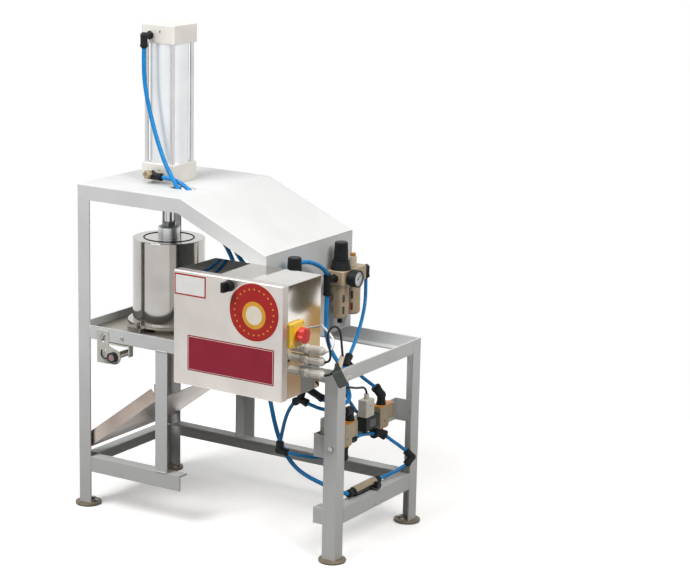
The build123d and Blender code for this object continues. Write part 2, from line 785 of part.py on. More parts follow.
sensor = bar(*along_sensor(sensor_y[0], bracket_y[0]), sensor_head_radius)
sensor += bar(*along_sensor(sensor_y[0] + 1, sensor_y[1]), sensor_radius)
sensor += hexagon(*along_sensor(front, front + sensor_nut_height), sensor_nut_across)
sensor -= bar(*along_sensor(sensor_y[0] - 1, sensor_y[0] + 1), sensor_lens_radius)
tail = hose(
    [
        (sensor_x - 14.0, front - 12.0, sensor_height - 4.0),
        (sensor_x - 28.0, front - 12.5, sensor_height - 7.0),
        (sensor_x - 38.0, front - 12.0, sensor_height + 3.0),
        (sensor_x - 36.0, front - 12.0, sensor_height + 14.0),
    ],
    sensor_tail_radius,
)
save("ball_sensor", sensor + tail)

# Control box: shell, cover tray and what is mounted on them
box_back = front
box_front = box_back - box_depth
inset = box_wall + cover_slip
shell_x = (box_left + inset, box_right - inset)
shell_z = (box_bottom + inset, box_top - inset)
shell_y = (box_front + inset, box_back)
shell = block(shell_x, shell_y, shell_z)
shell = fillet(shell.edges().filter_by(Axis.Y), box_corner - inset)
shell -= block(
    (shell_x[0] + box_wall, shell_x[1] - box_wall),
    (shell_y[0] - 1, shell_y[1] - box_wall),
    (shell_z[0] + box_wall, shell_z[1] - box_wall),
)
gland_y = box_front + gland_inset
gland_z = [box_bottom + h for h in gland_heights]
gland_bore = 8.0
for z in gland_z:
    shell -= bar((shell_x[1] - 5, gland_y, z), (shell_x[1] + 5, gland_y, z), gland_bore + hole_clearance)
stop_y, stop_height = box_front + stop_inset, box_bottom + stop_z
stop_neck = 11.0
neck_hole = stop_neck + hole_clearance
shell -= bar((shell_x[1] - 5, stop_y, stop_height), (shell_x[1] + 5, stop_y, stop_height), neck_hole)
for x in box_bolts_x:
    shell -= bar((x, box_back - 5, box_bolt_z), (x, box_back + 1, box_bolt_z), bolt_hole)
save("box_shell", shell)
tray = block((box_left, box_right), (box_front, box_front + cover_return), (box_bottom, box_top))
tray = fillet(tray.edges().filter_by(Axis.Y) + tray.faces().sort_by(Axis.Y)[0].edges(), box_corner)
tray -= block(
    (box_left + box_wall, box_right - box_wall),
    (box_front + box_wall, box_front + cover_return + 1),
    (box_bottom + box_wall, box_top - box_wall),
)
knob_x, knob_z = box_left + selector_x, box_bottom + selector_z
tray -= bar((knob_x, box_front - 1, knob_z), (knob_x, box_front + 5, knob_z), neck_hole)
save("box_cover", tray)

glands = []
side_x = shell_x[1]
for z in gland_z:
    gland = bar((side_x - 10, gland_y, z), (side_x, gland_y, z), gland_bore)
    gland += hexagon((side_x - box_wall - 6, gland_y, z), (side_x - box_wall, gland_y, z), 22.0)
    gland += hexagon((side_x, gland_y, z), (side_x + 8, gland_y, z), gland_across)
    gland += bar((side_x + 8, gland_y, z), (side_x + 16, gland_y, z), 10.0)
    tip_x = side_x + gland_length
    nut = bar((side_x + 16, gland_y, z), (tip_x - 8, gland_y, z), gland_across / 2)
    rim = (gland_across / 2, gland_across / 2)
    gland += ribbed(nut, (side_x + 15, gland_y, z), (tip_x, gland_y, z), rim, 12, 1.6)
    gland += cone((tip_x - 8, gland_y, z), (tip_x, gland_y, z), 11.0, 6.5)
    glands.append(gland)
save("cable_glands", *glands)

wall_y = shell_y[1] - box_wall
gear_middle = (box_bottom + box_top) / 2
rail_z = (gear_middle - gear_rail_height / 2, gear_middle + gear_rail_height / 2)
rail_y = wall_y - gear_rail_depth
gear = [block((box_left + 0.09 * box_width, box_right - 0.15 * box_width), (rail_y, wall_y), rail_z)]
for start, end, depth, below, above in (
    (0.13, 0.30, 0.44, 0.10, 0.12),
    (0.36, 0.48, 0.33, 0.08, 0.09),
    (0.51, 0.63, 0.33, 0.08, 0.09),
    (0.66, 0.83, 0.22, 0.03, 0.03),
):
    gear_x = (box_left + start * box_width, box_left + end * box_width)
    gear_z = (rail_z[0] - below * box_height, rail_z[1] + above * box_height)
    gear.append(block(gear_x, (rail_y - depth * box_depth, rail_y), gear_z))
save("control_gear", *gear)

selector_face = box_front - 6.0
selector_body = bar((knob_x, selector_face, knob_z), (knob_x, box_front, knob_z), selector_bezel)
selector_body += bar((knob_x, box_front, knob_z), (knob_x, box_front + 45, knob_z), stop_neck)
nut_y = (box_front + box_wall, box_front + box_wall + 5)
selector_body += bar((knob_x, nut_y[0], knob_z), (knob_x, nut_y[1], knob_z), selector_bezel)
stem_gap = 6.0 + turning_gap
selector_body -= bar((knob_x, selector_face - 1, knob_z), (knob_x, box_front + 20, knob_z), stem_gap)
save("selector_base", selector_body)
turn_front = selector_face - turning_gap
knob = bar((knob_x, turn_front - 12, knob_z), (knob_x, turn_front, knob_z), 13.5)
knob += block((knob_x - 5, knob_x + 5), (turn_front - 30, turn_front - 8), (knob_z - 13, knob_z + 13))
knob = fillet(knob.faces().sort_by(Axis.Y)[0].edges(), 2.0)
knob += bar((knob_x, turn_front - 2, knob_z), (knob_x, box_front + 15, knob_z), 6.0)
save("selector_knob", knob)

stop_face = side_x + stop_plate_height
half_plate = stop_plate / 2
stop_base = block(
    (side_x, stop_face),
    (stop_y - half_plate, stop_y + half_plate),
    (stop_height - half_plate, stop_height + half_plate),
)
stop_base = fillet(stop_base.edges().filter_by(Axis.X), 5.0)
stop_base = fillet(stop_base.faces().sort_by(Axis.X)[-1].edges(), 3.0)
stop_base += bar((side_x - 40, stop_y, stop_height), (side_x + 1, stop_y, stop_height), stop_neck)
stop_base += bar((side_x - box_wall - 5, stop_y, stop_height), (side_x - box_wall, stop_y, stop_height), 15.0)
collar_top = stop_face + stop_collar_height
stop_base += bar((stop_face - 4, stop_y, stop_height), (collar_top, stop_y, stop_height), 16.0)
stop_base -= bar((side_x - 30, stop_y, stop_height), (collar_top + 1, stop_y, stop_height), 8.0 + turning_gap)
save("estop_base", stop_base)
skirt_back = collar_top + stop_travel + stop_clearance
button_back = skirt_back + stop_skirt_height
button_face = button_back + stop_head_height
button = bar((button_back, stop_y, stop_height), (button_face, stop_y, stop_height), stop_button_radius)
notch_reach = stop_button_radius + stop_notch_radius - stop_notch_depth
for turn in (75.0, 165.0, 255.0, 345.0):
    y = stop_y + notch_reach * math.cos(math.radians(turn))
    z = stop_height + notch_reach * math.sin(math.radians(turn))
    button -= bar((button_back - 1, y, z), (button_face + 1, y, z), stop_notch_radius)
button = fillet(button.faces().sort_by(Axis.X)[-1].edges(), 3.0)
button += cone((skirt_back, stop_y, stop_height), (button_back, stop_y, stop_height), 13.0, 16.0)
button += bar((side_x - 20, stop_y, stop_height), (button_back, stop_y, stop_height), 8.0)
save("estop_button", button)

# Air preparation: filter regulator, lubricator, line regulator and gauge


def unit_body(x, y, bracket_start):
    depth = (x - unit_body_depth / 2, x + unit_body_depth / 2)
    solid = block(depth, (y - half_unit, y + half_unit), (unit_bottom, unit_top))
    solid = fillet(solid.edges().filter_by(Axis.Z), 9.0)
    solid = chamfer(solid.faces().filter_by(Axis.Z).edges(), 1.5)
    if bracket_start is not None:
        mount = block((bracket_start, x), (y - 16, y + 16), (unit_height - 17, unit_height + 17))
        for dz in (-10.0, 10.0):
            z = unit_height + dz
            mount -= bar((bracket_start - 1, y, z), (bracket_start + 9, y, z), 3.0 + hole_clearance)
        solid += mount - block((depth[0] + 4, x + 1), (y - 20, y + 20), (unit_height - 18, unit_height + 18))
    return solid


def knob_solid(x, y):
    base = unit_top + bonnet_height + knob_gap
    top = base + knob_height
    solid = cone((x, y, base), (x, y, top), knob_radius, knob_top_radius)
    solid = ribbed(solid, (x, y, base), (x, y, top), (knob_radius, knob_top_radius), 22, 1.3)
    crown = cone((x, y, top - 6), (x, y, top + 1), knob_top_radius + 4.0, knob_top_radius - 3.0)
    crown += bar((x, y, base - 1), (x, y, top - 6), knob_radius + 4.0)
    solid = solid & crown
    return solid + bar((x, y, base - knob_stem_length), (x, y, base + 1), knob_stem_radius)


def bonnet(x, y):
    solid = cone((x, y, unit_top), (x, y, unit_top + bonnet_height), bonnet_radius, bonnet_top_radius)
    hole = knob_stem_radius + turning_gap
    return solid - bar((x, y, unit_top + 5), (x, y, unit_top + bonnet_height + 1), hole)


def bowl(y, first_turn):
    low = unit_bottom - bowl_height
    solid = bar((unit_x, y, low), (unit_x, y, unit_bottom), bowl_radius)
    solid = fillet(solid.faces().sort_by(Axis.Z)[0].edges(), bowl_round)
    solid += bar((unit_x, y, unit_bottom - 10), (unit_x, y, unit_bottom), bowl_radius + 2.0)
    window = Rot(0, 90, 0) * extrude(SlotOverall(bowl_window_length, bowl_window_width), 2.2, both=True)
    for quarter in range(4):
        for height in bowl_window_heights:
            turned = Rot(0, 0, first_turn + 90.0 * quarter) * (Pos(bowl_radius, 0, low + height) * window)
            solid -= Pos(unit_x, y, 0) * turned
    return solid


gauge_face_x = unit_x + unit_body_depth / 2
save("filter_regulator", unit_body(unit_x, filter_y, end_x))
lubricator = unit_body(unit_x, lubricator_y, None)
dome_top = unit_top + dome_height
lubricator += bar((unit_x, lubricator_y, unit_top), (unit_x, lubricator_y, dome_top), dome_radius)
lubricator += bar((unit_x, lubricator_y, dome_top), (unit_x, lubricator_y, dome_top + 9), dome_radius - 3)
save("lubricator", lubricator)
save("line_regulator", unit_body(line_x, line_y, end_x))
drain_top = unit_bottom - bowl_height
drain = bar((unit_x, filter_y, drain_top - drain_height), (unit_x, filter_y, drain_top), drain_radius)
save("regulator_trim", bonnet(unit_x, filter_y), bonnet(line_x, line_y), drain)
save("bowl_guards", bowl(filter_y, filter_window_turn), bowl(lubricator_y, lubricator_window_turn))
save("filter_knob", knob_solid(unit_x, filter_y))
save("line_regulator_knob", knob_solid(line_x, line_y))

gauge_back = gauge_face_x + gauge_stem
gauge_front = gauge_back + gauge_depth
gauge = bar((gauge_face_x, filter_y, unit_height), (gauge_back + 1, filter_y, unit_height), 7.0)
case = bar((gauge_back, filter_y, unit_height), (gauge_front, filter_y, unit_height), gauge_radius)
case = fillet(case.faces().sort_by(Axis.X)[0].edges(), 4.0)
dial_x = gauge_front - gauge_recess
case -= bar((dial_x, filter_y, unit_height), (gauge_front + 1, filter_y, unit_height), gauge_radius - 3.0)
gauge += case + bar((dial_x - 1, filter_y, unit_height), (dial_x + 3, filter_y, unit_height), 1.2)
save("pressure_gauge", gauge)
needle = Pos(0, 0, 4.5) * Box(0.8, 1.8, 21.0)
needle += Rot(0, 90, 0) * Cylinder(3.0, 0.8)
needle -= Rot(0, 90, 0) * Cylinder(1.2 + turning_gap, 4.0)
needle = Pos(dial_x + 1.6, filter_y, unit_height) * (Rot(-55, 0, 0) * needle)
save("gauge_needle", needle)

# Valve strip and valves
strip_x = right - strip_from_right
strip_z = (strip_bottom, strip_bottom + strip_height)
strip_end = right - angle_wall - plate_gap
valve_face = strip_x + strip_wall
strip = block((strip_x, valve_face), (inner_front, inner_back), strip_z)
strip += block((strip_x, strip_end), (inner_front, inner_front + strip_wall), strip_z)
strip += block((strip_x, strip_end), (inner_back - strip_wall, inner_back), strip_z)
for y in ((inner_front - 1, inner_front + 5), (inner_back - 5, inner_back + 1)):
    strip -= bar((strip_bolt_x, y[0], strip_bolt_z), (strip_bolt_x, y[1], strip_bolt_z), bolt_hole)
front_valve_y = inner_front + strip_wall + front_coil_gap + coil_length
rear_valve_y = front_valve_y + valve_pitch
supply_y, supply_z = rear_valve_y + 15.0, strip_bottom + strip_height / 2
supply_hole = 0.6 * fitting_across + hole_clearance
strip -= bar((strip_x - 1, supply_y, supply_z), (valve_face + 1, supply_y, supply_z), supply_hole)
save("valve_bracket", strip)
valve_x = valve_face + valve_depth / 2
bodies, coils, connectors = [], [], []
for start, drop in ((rear_valve_y, 0.0), (front_valve_y, front_valve_drop)):
    valve_z = (strip_bottom + valve_lift - drop, strip_bottom + valve_lift + valve_height - drop)
    solid = block((valve_face, valve_face + valve_depth), (start, start + valve_length), valve_z)
    solid = fillet(solid.edges().filter_by(Axis.Y), 3.0)
    step_y = (start + valve_foot_length, start + valve_length + 1)
    step_x = (valve_face - 1, valve_face + valve_depth + 1)
    solid -= block(step_x, step_y, (valve_z[0] - 1, valve_z[0] + valve_foot_height))
    screw = (start + valve_foot_length / 2, valve_z[0] + valve_foot_height)
    screw_x = (valve_face + valve_depth - 6, valve_face + valve_depth + 1)
    solid -= bar((screw_x[0], *screw), (screw_x[1], *screw), 3.0)
    for y in (start + 9, start + valve_length - 9):
        seam = (y - 0.8, y + 0.8)
        outer_x = valve_face + valve_depth
        ring = block((valve_face - 1, outer_x + 1), seam, (valve_z[0] - 1, valve_z[1] + 1))
        core = block((valve_face, outer_x - 1), (y - 2, y + 2), (valve_z[0] + 1, valve_z[1] - 1))
        solid -= ring - core
    bodies.append(solid)
    coil_x = (valve_face + 2, valve_face + 2 + coil_depth)
    coil_z = (strip_bottom + coil_lift - drop, strip_bottom + coil_lift + coil_height - drop)
    coil = block(coil_x, (start - coil_length, start - coil_neck), coil_z)
    coil = fillet(coil.edges().filter_by(Axis.Y), 4.0)
    middle = ((coil_x[0] + coil_x[1]) / 2, (coil_z[0] + coil_z[1]) / 2)
    coil += bar((middle[0], start - coil_neck - 1, middle[1]), (middle[0], start, middle[1]), 10.0)
    coils.append(coil)
    plug_y = (start - coil_length, start - coil_length + connector_length)
    plug_top = coil_z[1] + connector_height
    plug_x = (middle[0] - connector_depth / 2, middle[0] + connector_depth / 2)
    plug = block(plug_x, plug_y, (coil_z[1], plug_top))
    plug = fillet(plug.edges().filter_by(Axis.Z) + plug.faces().sort_by(Axis.Z)[-1].edges(), 3.0)
    boss_y = (plug_y[0] + plug_y[1]) / 2
    plug += bar((middle[0], boss_y, plug_top - 1), (middle[0], boss_y, plug_top + connector_boss_height), 7.0)
    connectors.append(plug)
save("valve_bodies", *bodies)
save("valve_coils", *coils)
save("valve_connectors", *connectors)

# Flow control on the right bottom rail
flow_x = right - flow_from_right
flow_z = bottom_rail_top + flow_lift
flow = bar((flow_x, flow_front, flow_z), (flow_x, flow_back, flow_z), flow_radius)
flow += block((flow_x - 8, flow_x + 8), (flow_front + 20, flow_back - 20), (bottom_rail_top, flow_z))
flow_mid = 0.0
riser_end = flow_x + flow_radius + 5.0
flow += bar((flow_x, flow_mid, flow_z), (riser_end, flow_mid, flow_z), 9.0)
flow -= bar((flow_x + 6, flow_mid, flow_z), (riser_end + 1, flow_mid, flow_z), 4.0 + turning_gap)
save("flow_control", flow)
flow_knob_x = (riser_end + turning_gap, riser_end + turning_gap + flow_knob_length)
flow_knob = bar((flow_knob_x[0], flow_mid, flow_z), (flow_knob_x[1], flow_mid, flow_z), flow_knob_radius)
grip = ((flow_knob_x[0] - 1, flow_mid, flow_z), (flow_knob_x[1] + 1, flow_mid, flow_z))
flow_knob = ribbed(flow_knob, *grip, (flow_knob_radius, flow_knob_radius), 18, 1.0)
flow_knob += bar((flow_x + 8, flow_mid, flow_z), (flow_knob_x[0] + 1, flow_mid, flow_z), 4.0)
save("flow_knob", flow_knob)

# Push-in fittings on the ports
top_port_z = rear_cap_bottom + cap_height / 2 - 4.0
low_port_z = cover_height + cap_height / 2 - 5.0
port_x = ram_x - port_offset
low_port_x = ram_x - 14.0
tee_y = filter_y - half_unit - 38.0
outlet_y = lubricator_y + half_unit + 41.0
rear_top = strip_bottom + valve_lift + valve_height
rear_bottom = strip_bottom + valve_lift
front_top, front_bottom = rear_top - front_valve_drop, rear_bottom - front_valve_drop
step_top = front_bottom + valve_foot_height
rear_top_y = rear_valve_y + 29.0
rear_low_y = rear_valve_y + 18.0
front_top_y = front_valve_y + 57.0
front_low_y = front_valve_y + 31.0
front_step_y = front_valve_y + (valve_foot_length + valve_length) / 2
line_in_y = line_y - half_unit
line_out_y = line_y + half_unit
line_in_corner = line_in_y - 24.0
top_elbow_end = (port_x, cap_front - 29.0, top_port_z - 30.0)
low_elbow_end = (low_port_x + 46.0, cap_front - 22.0, low_port_z)
bulkhead_end = (end_x - 22.0, bulkhead_y, unit_height)
tee_up = (unit_x, tee_y, unit_height + 16.0)
tee_down = (unit_x, tee_y, unit_height - 40.0)
outlet_end = (unit_x, outlet_y, unit_height - 26.0)
line_in_end = (line_x - 16.0, line_in_corner, unit_height + 16.0)
front_top_end = (valve_x, front_top_y - 28.0, front_top + 31.0)
front_step_end = (valve_x, front_step_y + 24.0, step_top - 14.0)
front_low_end = (valve_x - 15.0, front_low_y - 18.0, front_bottom - 33.0)
rear_top_end = (valve_x - 9.3, rear_top_y - 16.0, rear_top + 52.0)
rear_low_end = (valve_x + 14.0, rear_low_y + 15.0, rear_bottom - 26.0)
rear_cross_end = (valve_x, rear_low_y - 26.0, rear_bottom - 13.5)
supply_x = strip_x - 17.0
supply_end = (supply_x, supply_y - 24.0, supply_z + 12.0)
flow_in_end = (flow_x, flow_front - 26.0, flow_z)
flow_out_end = (flow_x, flow_back + 24.0, flow_z)
bulkhead = fitting((line_x, bulkhead_y, unit_height), [bulkhead_end], (line_x, line_out_y, unit_height))
for x in ((end_x, end_x + 5), (end_x - cover_wall - 5, end_x - cover_wall)):
    bulkhead += hexagon((x[0], bulkhead_y, unit_height), (x[1], bulkhead_y, unit_height), 26.0)


def valve_fitting(y, corner_z, ends, port_z):
    return fitting((valve_x, y, corner_z), ends, (valve_x, y, port_z), valve_fitting_scale)


save(
    "port_fittings",
    fitting((port_x, cap_front - 29.0, top_port_z), [top_elbow_end], (port_x, cap_front, top_port_z)),
    fitting((low_port_x, cap_front - 22.0, low_port_z), [low_elbow_end], (low_port_x, cap_front, low_port_z)),
    bulkhead,
    fitting((unit_x, tee_y, unit_height), [tee_up, tee_down], (unit_x, filter_y - half_unit, unit_height)),
    fitting((unit_x, outlet_y, unit_height), [outlet_end], (unit_x, lubricator_y + half_unit, unit_height)),
    fitting((line_x, line_in_corner, unit_height), [line_in_end], (line_x, line_in_y, unit_height)),
    valve_fitting(front_top_y, front_top + 28.0, [front_top_end], front_top),
    fitting((valve_x, front_step_y, step_top - 14.0), [front_step_end], (valve_x, front_step_y, step_top)),
    valve_fitting(front_low_y, front_bottom - 34.0, [front_low_end], front_bottom),
    valve_fitting(rear_top_y, rear_top + 28.0, [rear_top_end], rear_top),
    valve_fitting(rear_low_y, rear_bottom - 15.0, [rear_low_end, rear_cross_end], rear_bottom),
    fitting((supply_x, supply_y, supply_z), [supply_end], (valve_face, supply_y, supply_z)),
    fitting((flow_x, flow_front - 12.0, flow_z), [flow_in_end], (flow_x, flow_front, flow_z)),
    fitting((flow_x, flow_back + 11.0, flow_z), [flow_out_end], (flow_x, flow_back, flow_z)),
)

# Bolts and screws
frame_bolt = (13.0, 5.5, 4.0)
bolts = []
for y, tip, nut in (
    (front, inner_front + 14, inner_front + strip_wall),
    (back, inner_back - 14, inner_back - strip_wall),
):
    ends = [(strip_bolt_x, where, strip_bolt_z) for where in (y, tip, nut)]
    bolts.append(bolt(ends[0], ends[1], *frame_bolt, ends[2]))
for y in (front + chute_bolt_y, back - chute_bolt_y):
    ends = [(where, y, chute_bolt_z) for where in (head_x, post_x + angle_wall + 9, post_x + angle_wall)]
    bolts.append(bolt(ends[0], ends[1], *frame_bolt, ends[2]))
for x, y, z in [(sensor_bolt_x, bracket_y[0], sensor_bolt_z)] + [
    (x, box_back - box_wall, box_bolt_z) for x in box_bolts_x
]:
    bolts.append(bolt((x, y, z), (x, inner_front, z), *frame_bolt, None))
for x, y in flange_bolts:
    bolts.append(bolt((x, y, flange_top), (x, y, barrel_bottom - 8), 8.0, 4.0, 2.5, None))
for y, z in unit_screws:
    bolts.append(bolt((end_x - cover_wall, y, z), (end_x + 7, y, z), 10.0, 4.0, 3.0, None))
for (x, y), (sx, sy) in zip(foot_centres, ((1, 1), (1, -1), (-1, 1), (-1, -1))):
    for dx, dy in ((22.0, 8.0), (-1.0, 24.0)):
        p = (x + sx * dx, y + sy * dy, foot_height)
        bolts.append(hexagon(p, (p[0], p[1], foot_height + 5.0), 11.0))
save("fasteners", *bolts)

# Fittings in the line
lower_elbow = (229.0, -186.0, 272.0)
rear_elbow = (446.0, 158.0, 205.0)
branch_tee = (295.0, -186.0, 426.0)
branch_bend = (303.0, -180.0, 462.0)
feed_y = (311.0, 20.0, 487.0)
lower_elbow_up, lower_elbow_right = (233.0, -186.0, 297.0), (255.0, -184.5, 270.0)
rear_elbow_in, rear_elbow_out = (438.0, 141.0, 186.0), (434.0, 145.0, 223.0)
branch_in, branch_down, branch_right = (359.0, -176.0, 436.0), (277.0, -186.0, 416.0), (317.0, -186.0, 419.0)
feed_in, feed_rear, feed_front = (305.0, 42.0, 498.0), (322.0, 30.0, 468.0), (319.0, 1.0, 478.0)
branch = fitting(branch_tee, [branch_down, branch_right]) + fitting(branch_bend, [branch_in], branch_tee)
save(
    "inline_fittings",
    fitting(lower_elbow, [lower_elbow_up, lower_elbow_right]),
    fitting(rear_elbow, [rear_elbow_in, rear_elbow_out]),
    branch,
    fitting(feed_y, [feed_in, feed_rear, feed_front]),
)

# Tubes and cables, with their routes as points
save(
    "tube_ram_top",
    hose(
        [
            top_elbow_end,
            (-293, -96, 1250), (-286, -96, 1188), (-268, -97, 1122), (-244, -99, 1056),
            (-216, -102, 996), (-186, -103, 950), (-154, -104, 912), (-119, -105, 882),
            (-83, -106, 860), (-47, -107, 835), (-15, -108, 806), (10, -109, 772),
            (32, -111, 732), (54, -116, 684), (78, -124, 631), (100, -132, 578),
            (122, -139, 524), (148, -146, 464), (173, -150, 405), (188, -151, 344),
            (206, -150, 289), (231, -150, 247), (265, -152, 218), (302, -158, 206),
            (338, -164, 200), (368, -162, 192), (390, -148, 181), (401, -128, 169), flow_in_end,
        ],
        tube_radius,
    ),
)
save(
    "tube_ram_bottom",
    hose(
        [
            low_elbow_end,
            (-206, -86, 950), (-174, -85, 942), (-142, -84, 923), (-110, -83, 900),
            (-76, -83, 876), (-44, -84, 850), (-16, -86, 818), (8, -88, 784),
            (32, -90, 754), (62, -91.5, 730), (97, -92.5, 714), (136, -93.5, 705), bulkhead_end,
        ],
        tube_radius,
    ),
)
save(
    "air_feed_tubes",
    hose(
        [
            tee_down,
            (239, 25, 634), (242, 20, 603), (247, 13, 570), (258, 3, 545), (277, -13, 526),
            (301, -31, 513), (326, -48, 502), (349, -63, 488), (370, -80, 469), (389, -98, 449),
            (406, -114.5, 434.5), (410, -137, 425), (400, -159.5, 421.5), (380.5, -174.4, 426), branch_in,
        ],
        tube_radius,
    ),
    hose(
        [
            tee_up,
            (237, 17, 733), (233, -6, 749), (228, -34, 762), (222, -64, 769.5),
            (214, -92, 767), (208.5, -117, 758), (207.5, -143, 749), (209, -168, 741), (215, -189, 731),
            line_in_end,
        ],
        tube_radius,
    ),
    hose(
        [
            outlet_end,
            (239, 231, 640), (245, 219, 602), (258, 184, 568), (277, 132, 538), (295, 78, 514), feed_in,
        ],
        small_tube_radius,
    ),
    hose([feed_rear, (333, 43, 453), (349, 62, 431), rear_top_end], small_tube_radius),
    hose(
        [
            feed_front,
            (326, -20, 467), (335, -38, 454), (346, -49, 436), (353.5, -48, 415.5), (355.5, -34, 395),
            (353, -11, 374), (347, 20, 348.5), supply_end,
        ],
        small_tube_radius,
    ),
)
save(
    "valve_tubes",
    hose(
        [branch_down, (261, -186, 396), (249, -186, 366), (240, -186, 332), lower_elbow_up],
        small_tube_radius,
    ),
    hose(
        [lower_elbow_right, (286, -181, 268), (316, -166, 264), (341, -142, 261), front_low_end],
        small_tube_radius,
    ),
    hose(
        [
            branch_right,
            (336, -187, 415.5), (355, -187.5, 412), (373, -184.5, 410), (388, -175, 409),
            (396.5, -158.5, 407), (396, -139, 402), (389, -121, 394), front_top_end,
        ],
        small_tube_radius,
    ),
    hose(
        [flow_out_end, (406, 76, 162.5), (414, 102, 166), (425, 124, 174), rear_elbow_in],
        small_tube_radius,
    ),
    hose([rear_elbow_out, (420, 130.5, 240.2), (405, 115, 255.5), rear_low_end], small_tube_radius),
    hose(
        [rear_cross_end, (valve_x, 37, 289.5), (valve_x, 8, 295), (valve_x, -16, 297), front_step_end],
        small_tube_radius,
    ),
)

gland_tip = [(side_x + gland_length, gland_y, z) for z in gland_z]
plug_neck = (477.0, -272.0, 593.0)
rear_boss = (valve_face + 2 + coil_depth / 2, rear_valve_y - coil_length + connector_length / 2,
             strip_bottom + coil_lift + coil_height + connector_height + connector_boss_height)
save(
    "control_cables",
    hose(
        [
            gland_tip[0],
            (436, -277, 599), (443, -272, 605), (444, -263.5, 613.5), (438, -254, 622), (427, -244, 629),
            (411, -233, 635), (390, -219, 640), (365, -202, 645), (332, -189, 648), (290, -180, 648),
            (244, -169, 644), (end_x, grommet_y, grommet_z),
        ],
        cable_radius,
    ),
    hose(
        [
            gland_tip[2],
            (436, -277.6, 535), (443, -273, 539), (446, -263, 544.5), (442.5, -250, 550), (436, -237, 553),
            (428.5, -225, 553), (421, -214, 548.5), (414, -203, 536), (408.5, -195, 515), (404.5, -188, 491),
            (402.5, -177, 474), (402, -160, 466), (402, -138, 463), (401, -114, 460), (398, -88, 453),
            (390, -58, 443.5), (382, -29, 436), (377.2, -3, 431), (376.2, 12, 424), (376, 19, 415), rear_boss,
        ],
        cable_radius,
    ),
    hose(
        [
            gland_tip[1],
            (437, -279, 571), (445, -281, 580), (448, -284, 595), (446, -287, 613), (442, -289, 632),
            (441, -288.5, 650), (446, -285, 663.5), (454.5, -280.5, 670), (463, -276.5, 667.5),
            (469, -274, 656.5), (472, -273, 641), (474, -272.2, 618), plug_neck,
        ],
        lead_radius,
    ),
)

# Plug hanging on its lead, its pins out to the side
plug_down = Vector(0.488, 0.06, -0.87)
plug_boot_end = Vector(*plug_neck) + Vector(-16.0, 0.0, -46.0)
plug_centre = plug_boot_end + plug_down * (plug_length / 2 - 3.0)
plug_plane = Plane(origin=plug_centre, x_dir=(0.708, 0.556, 0.436), z_dir=plug_down)
plug_piece = plug_plane * fillet(Box(plug_width, plug_depth, plug_length).edges(), 4.0)
plug_piece += cone(tuple(plug_boot_end), plug_neck, plug_boot_radius, 0.6 * plug_boot_radius)
for offset in (-9.5, 9.5):
    pin = Pos(plug_width / 2 + plug_pin_length / 2 - 2.0, 0, offset - 6.0) * Box(plug_pin_length, 6.0, 2.5)
    plug_piece += plug_plane * pin
save("lead_plug", plug_piece)
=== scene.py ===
import math

import bmesh
import bpy
from mathutils import Matrix, Vector


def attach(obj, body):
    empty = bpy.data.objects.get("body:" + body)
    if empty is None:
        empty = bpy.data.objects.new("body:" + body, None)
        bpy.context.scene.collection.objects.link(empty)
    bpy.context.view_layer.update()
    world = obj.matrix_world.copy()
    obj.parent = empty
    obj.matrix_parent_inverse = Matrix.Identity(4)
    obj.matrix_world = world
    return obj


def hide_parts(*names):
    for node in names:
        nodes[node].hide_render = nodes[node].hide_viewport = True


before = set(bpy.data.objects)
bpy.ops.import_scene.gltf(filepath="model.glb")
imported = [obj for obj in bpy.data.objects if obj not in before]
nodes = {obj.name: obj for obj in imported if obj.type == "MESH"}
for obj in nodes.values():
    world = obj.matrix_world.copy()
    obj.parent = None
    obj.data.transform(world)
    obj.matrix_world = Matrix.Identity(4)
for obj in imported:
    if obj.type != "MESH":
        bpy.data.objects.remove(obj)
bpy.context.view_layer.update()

print("frame loaded with", len(nodes), "nodes")

scene = bpy.context.scene
scene.view_settings.view_transform = "Standard"
mm = 0.001


def linear(code):
    # sRGB hex to the linear colour that a shader socket takes
    parts = [int(code[i:i + 2], 16) / 255 for i in (0, 2, 4)]
    return tuple(c / 12.92 if c <= 0.04045 else ((c + 0.055) / 1.055) ** 2.4 for c in parts) + (1.0,)


def perMetre(sizeMm):
    # pattern scale for a feature of this size, because object coordinates are metres
    return 1000.0 / sizeMm


def addNode(tree, kind, settings=None, sockets=None, stops=()):
    # a socket that gets another node's output is linked, any other value is set; stops are a ramp's tones
    node = tree.nodes.new("ShaderNode" + kind)
    for name, value in (settings or {}).items():
        setattr(node, name, value)
    for name, value in (sockets or {}).items():
        if isinstance(value, bpy.types.NodeSocket):
            tree.links.new(value, node.inputs[name])
        else:
            node.inputs[name].default_value = value
    for k, (position, tone) in enumerate(stops):
        node.color_ramp.elements[k].position = position
        node.color_ramp.elements[k].color = linear(tone)
    return node


def newMaterial(name, fixed):
    # principled surface with its fixed values set on its own sockets
    material = bpy.data.materials.new(name)
    material.use_nodes = True
    tree = material.node_tree
    surface = tree.nodes["Principled BSDF"]
    for socket, value in fixed.items():
        surface.inputs[socket].default_value = value
    place = addNode(tree, "TexCoord").outputs["Object"]
    return material, tree, surface, place


def linkLooks(tree, surface, looks):
    # each pattern to the socket that it drives
    for socket, output in looks.items():
        tree.links.new(output, surface.inputs[socket])


# Materials: every one in object space, so patterns keep their real size on every piece
toneEnds = (0.3, 0.7)  # where in a cloud its two tones lie
edgeSamples = 4
darkerLowPatches = dict(spread=0.8, least=0.6)
edgeWearAndHighlight = dict(starts=0.985, full=0.86, most=0.8)  # cosines of the turn that softens an edge, and the share rubbed and painted paler as a highlight
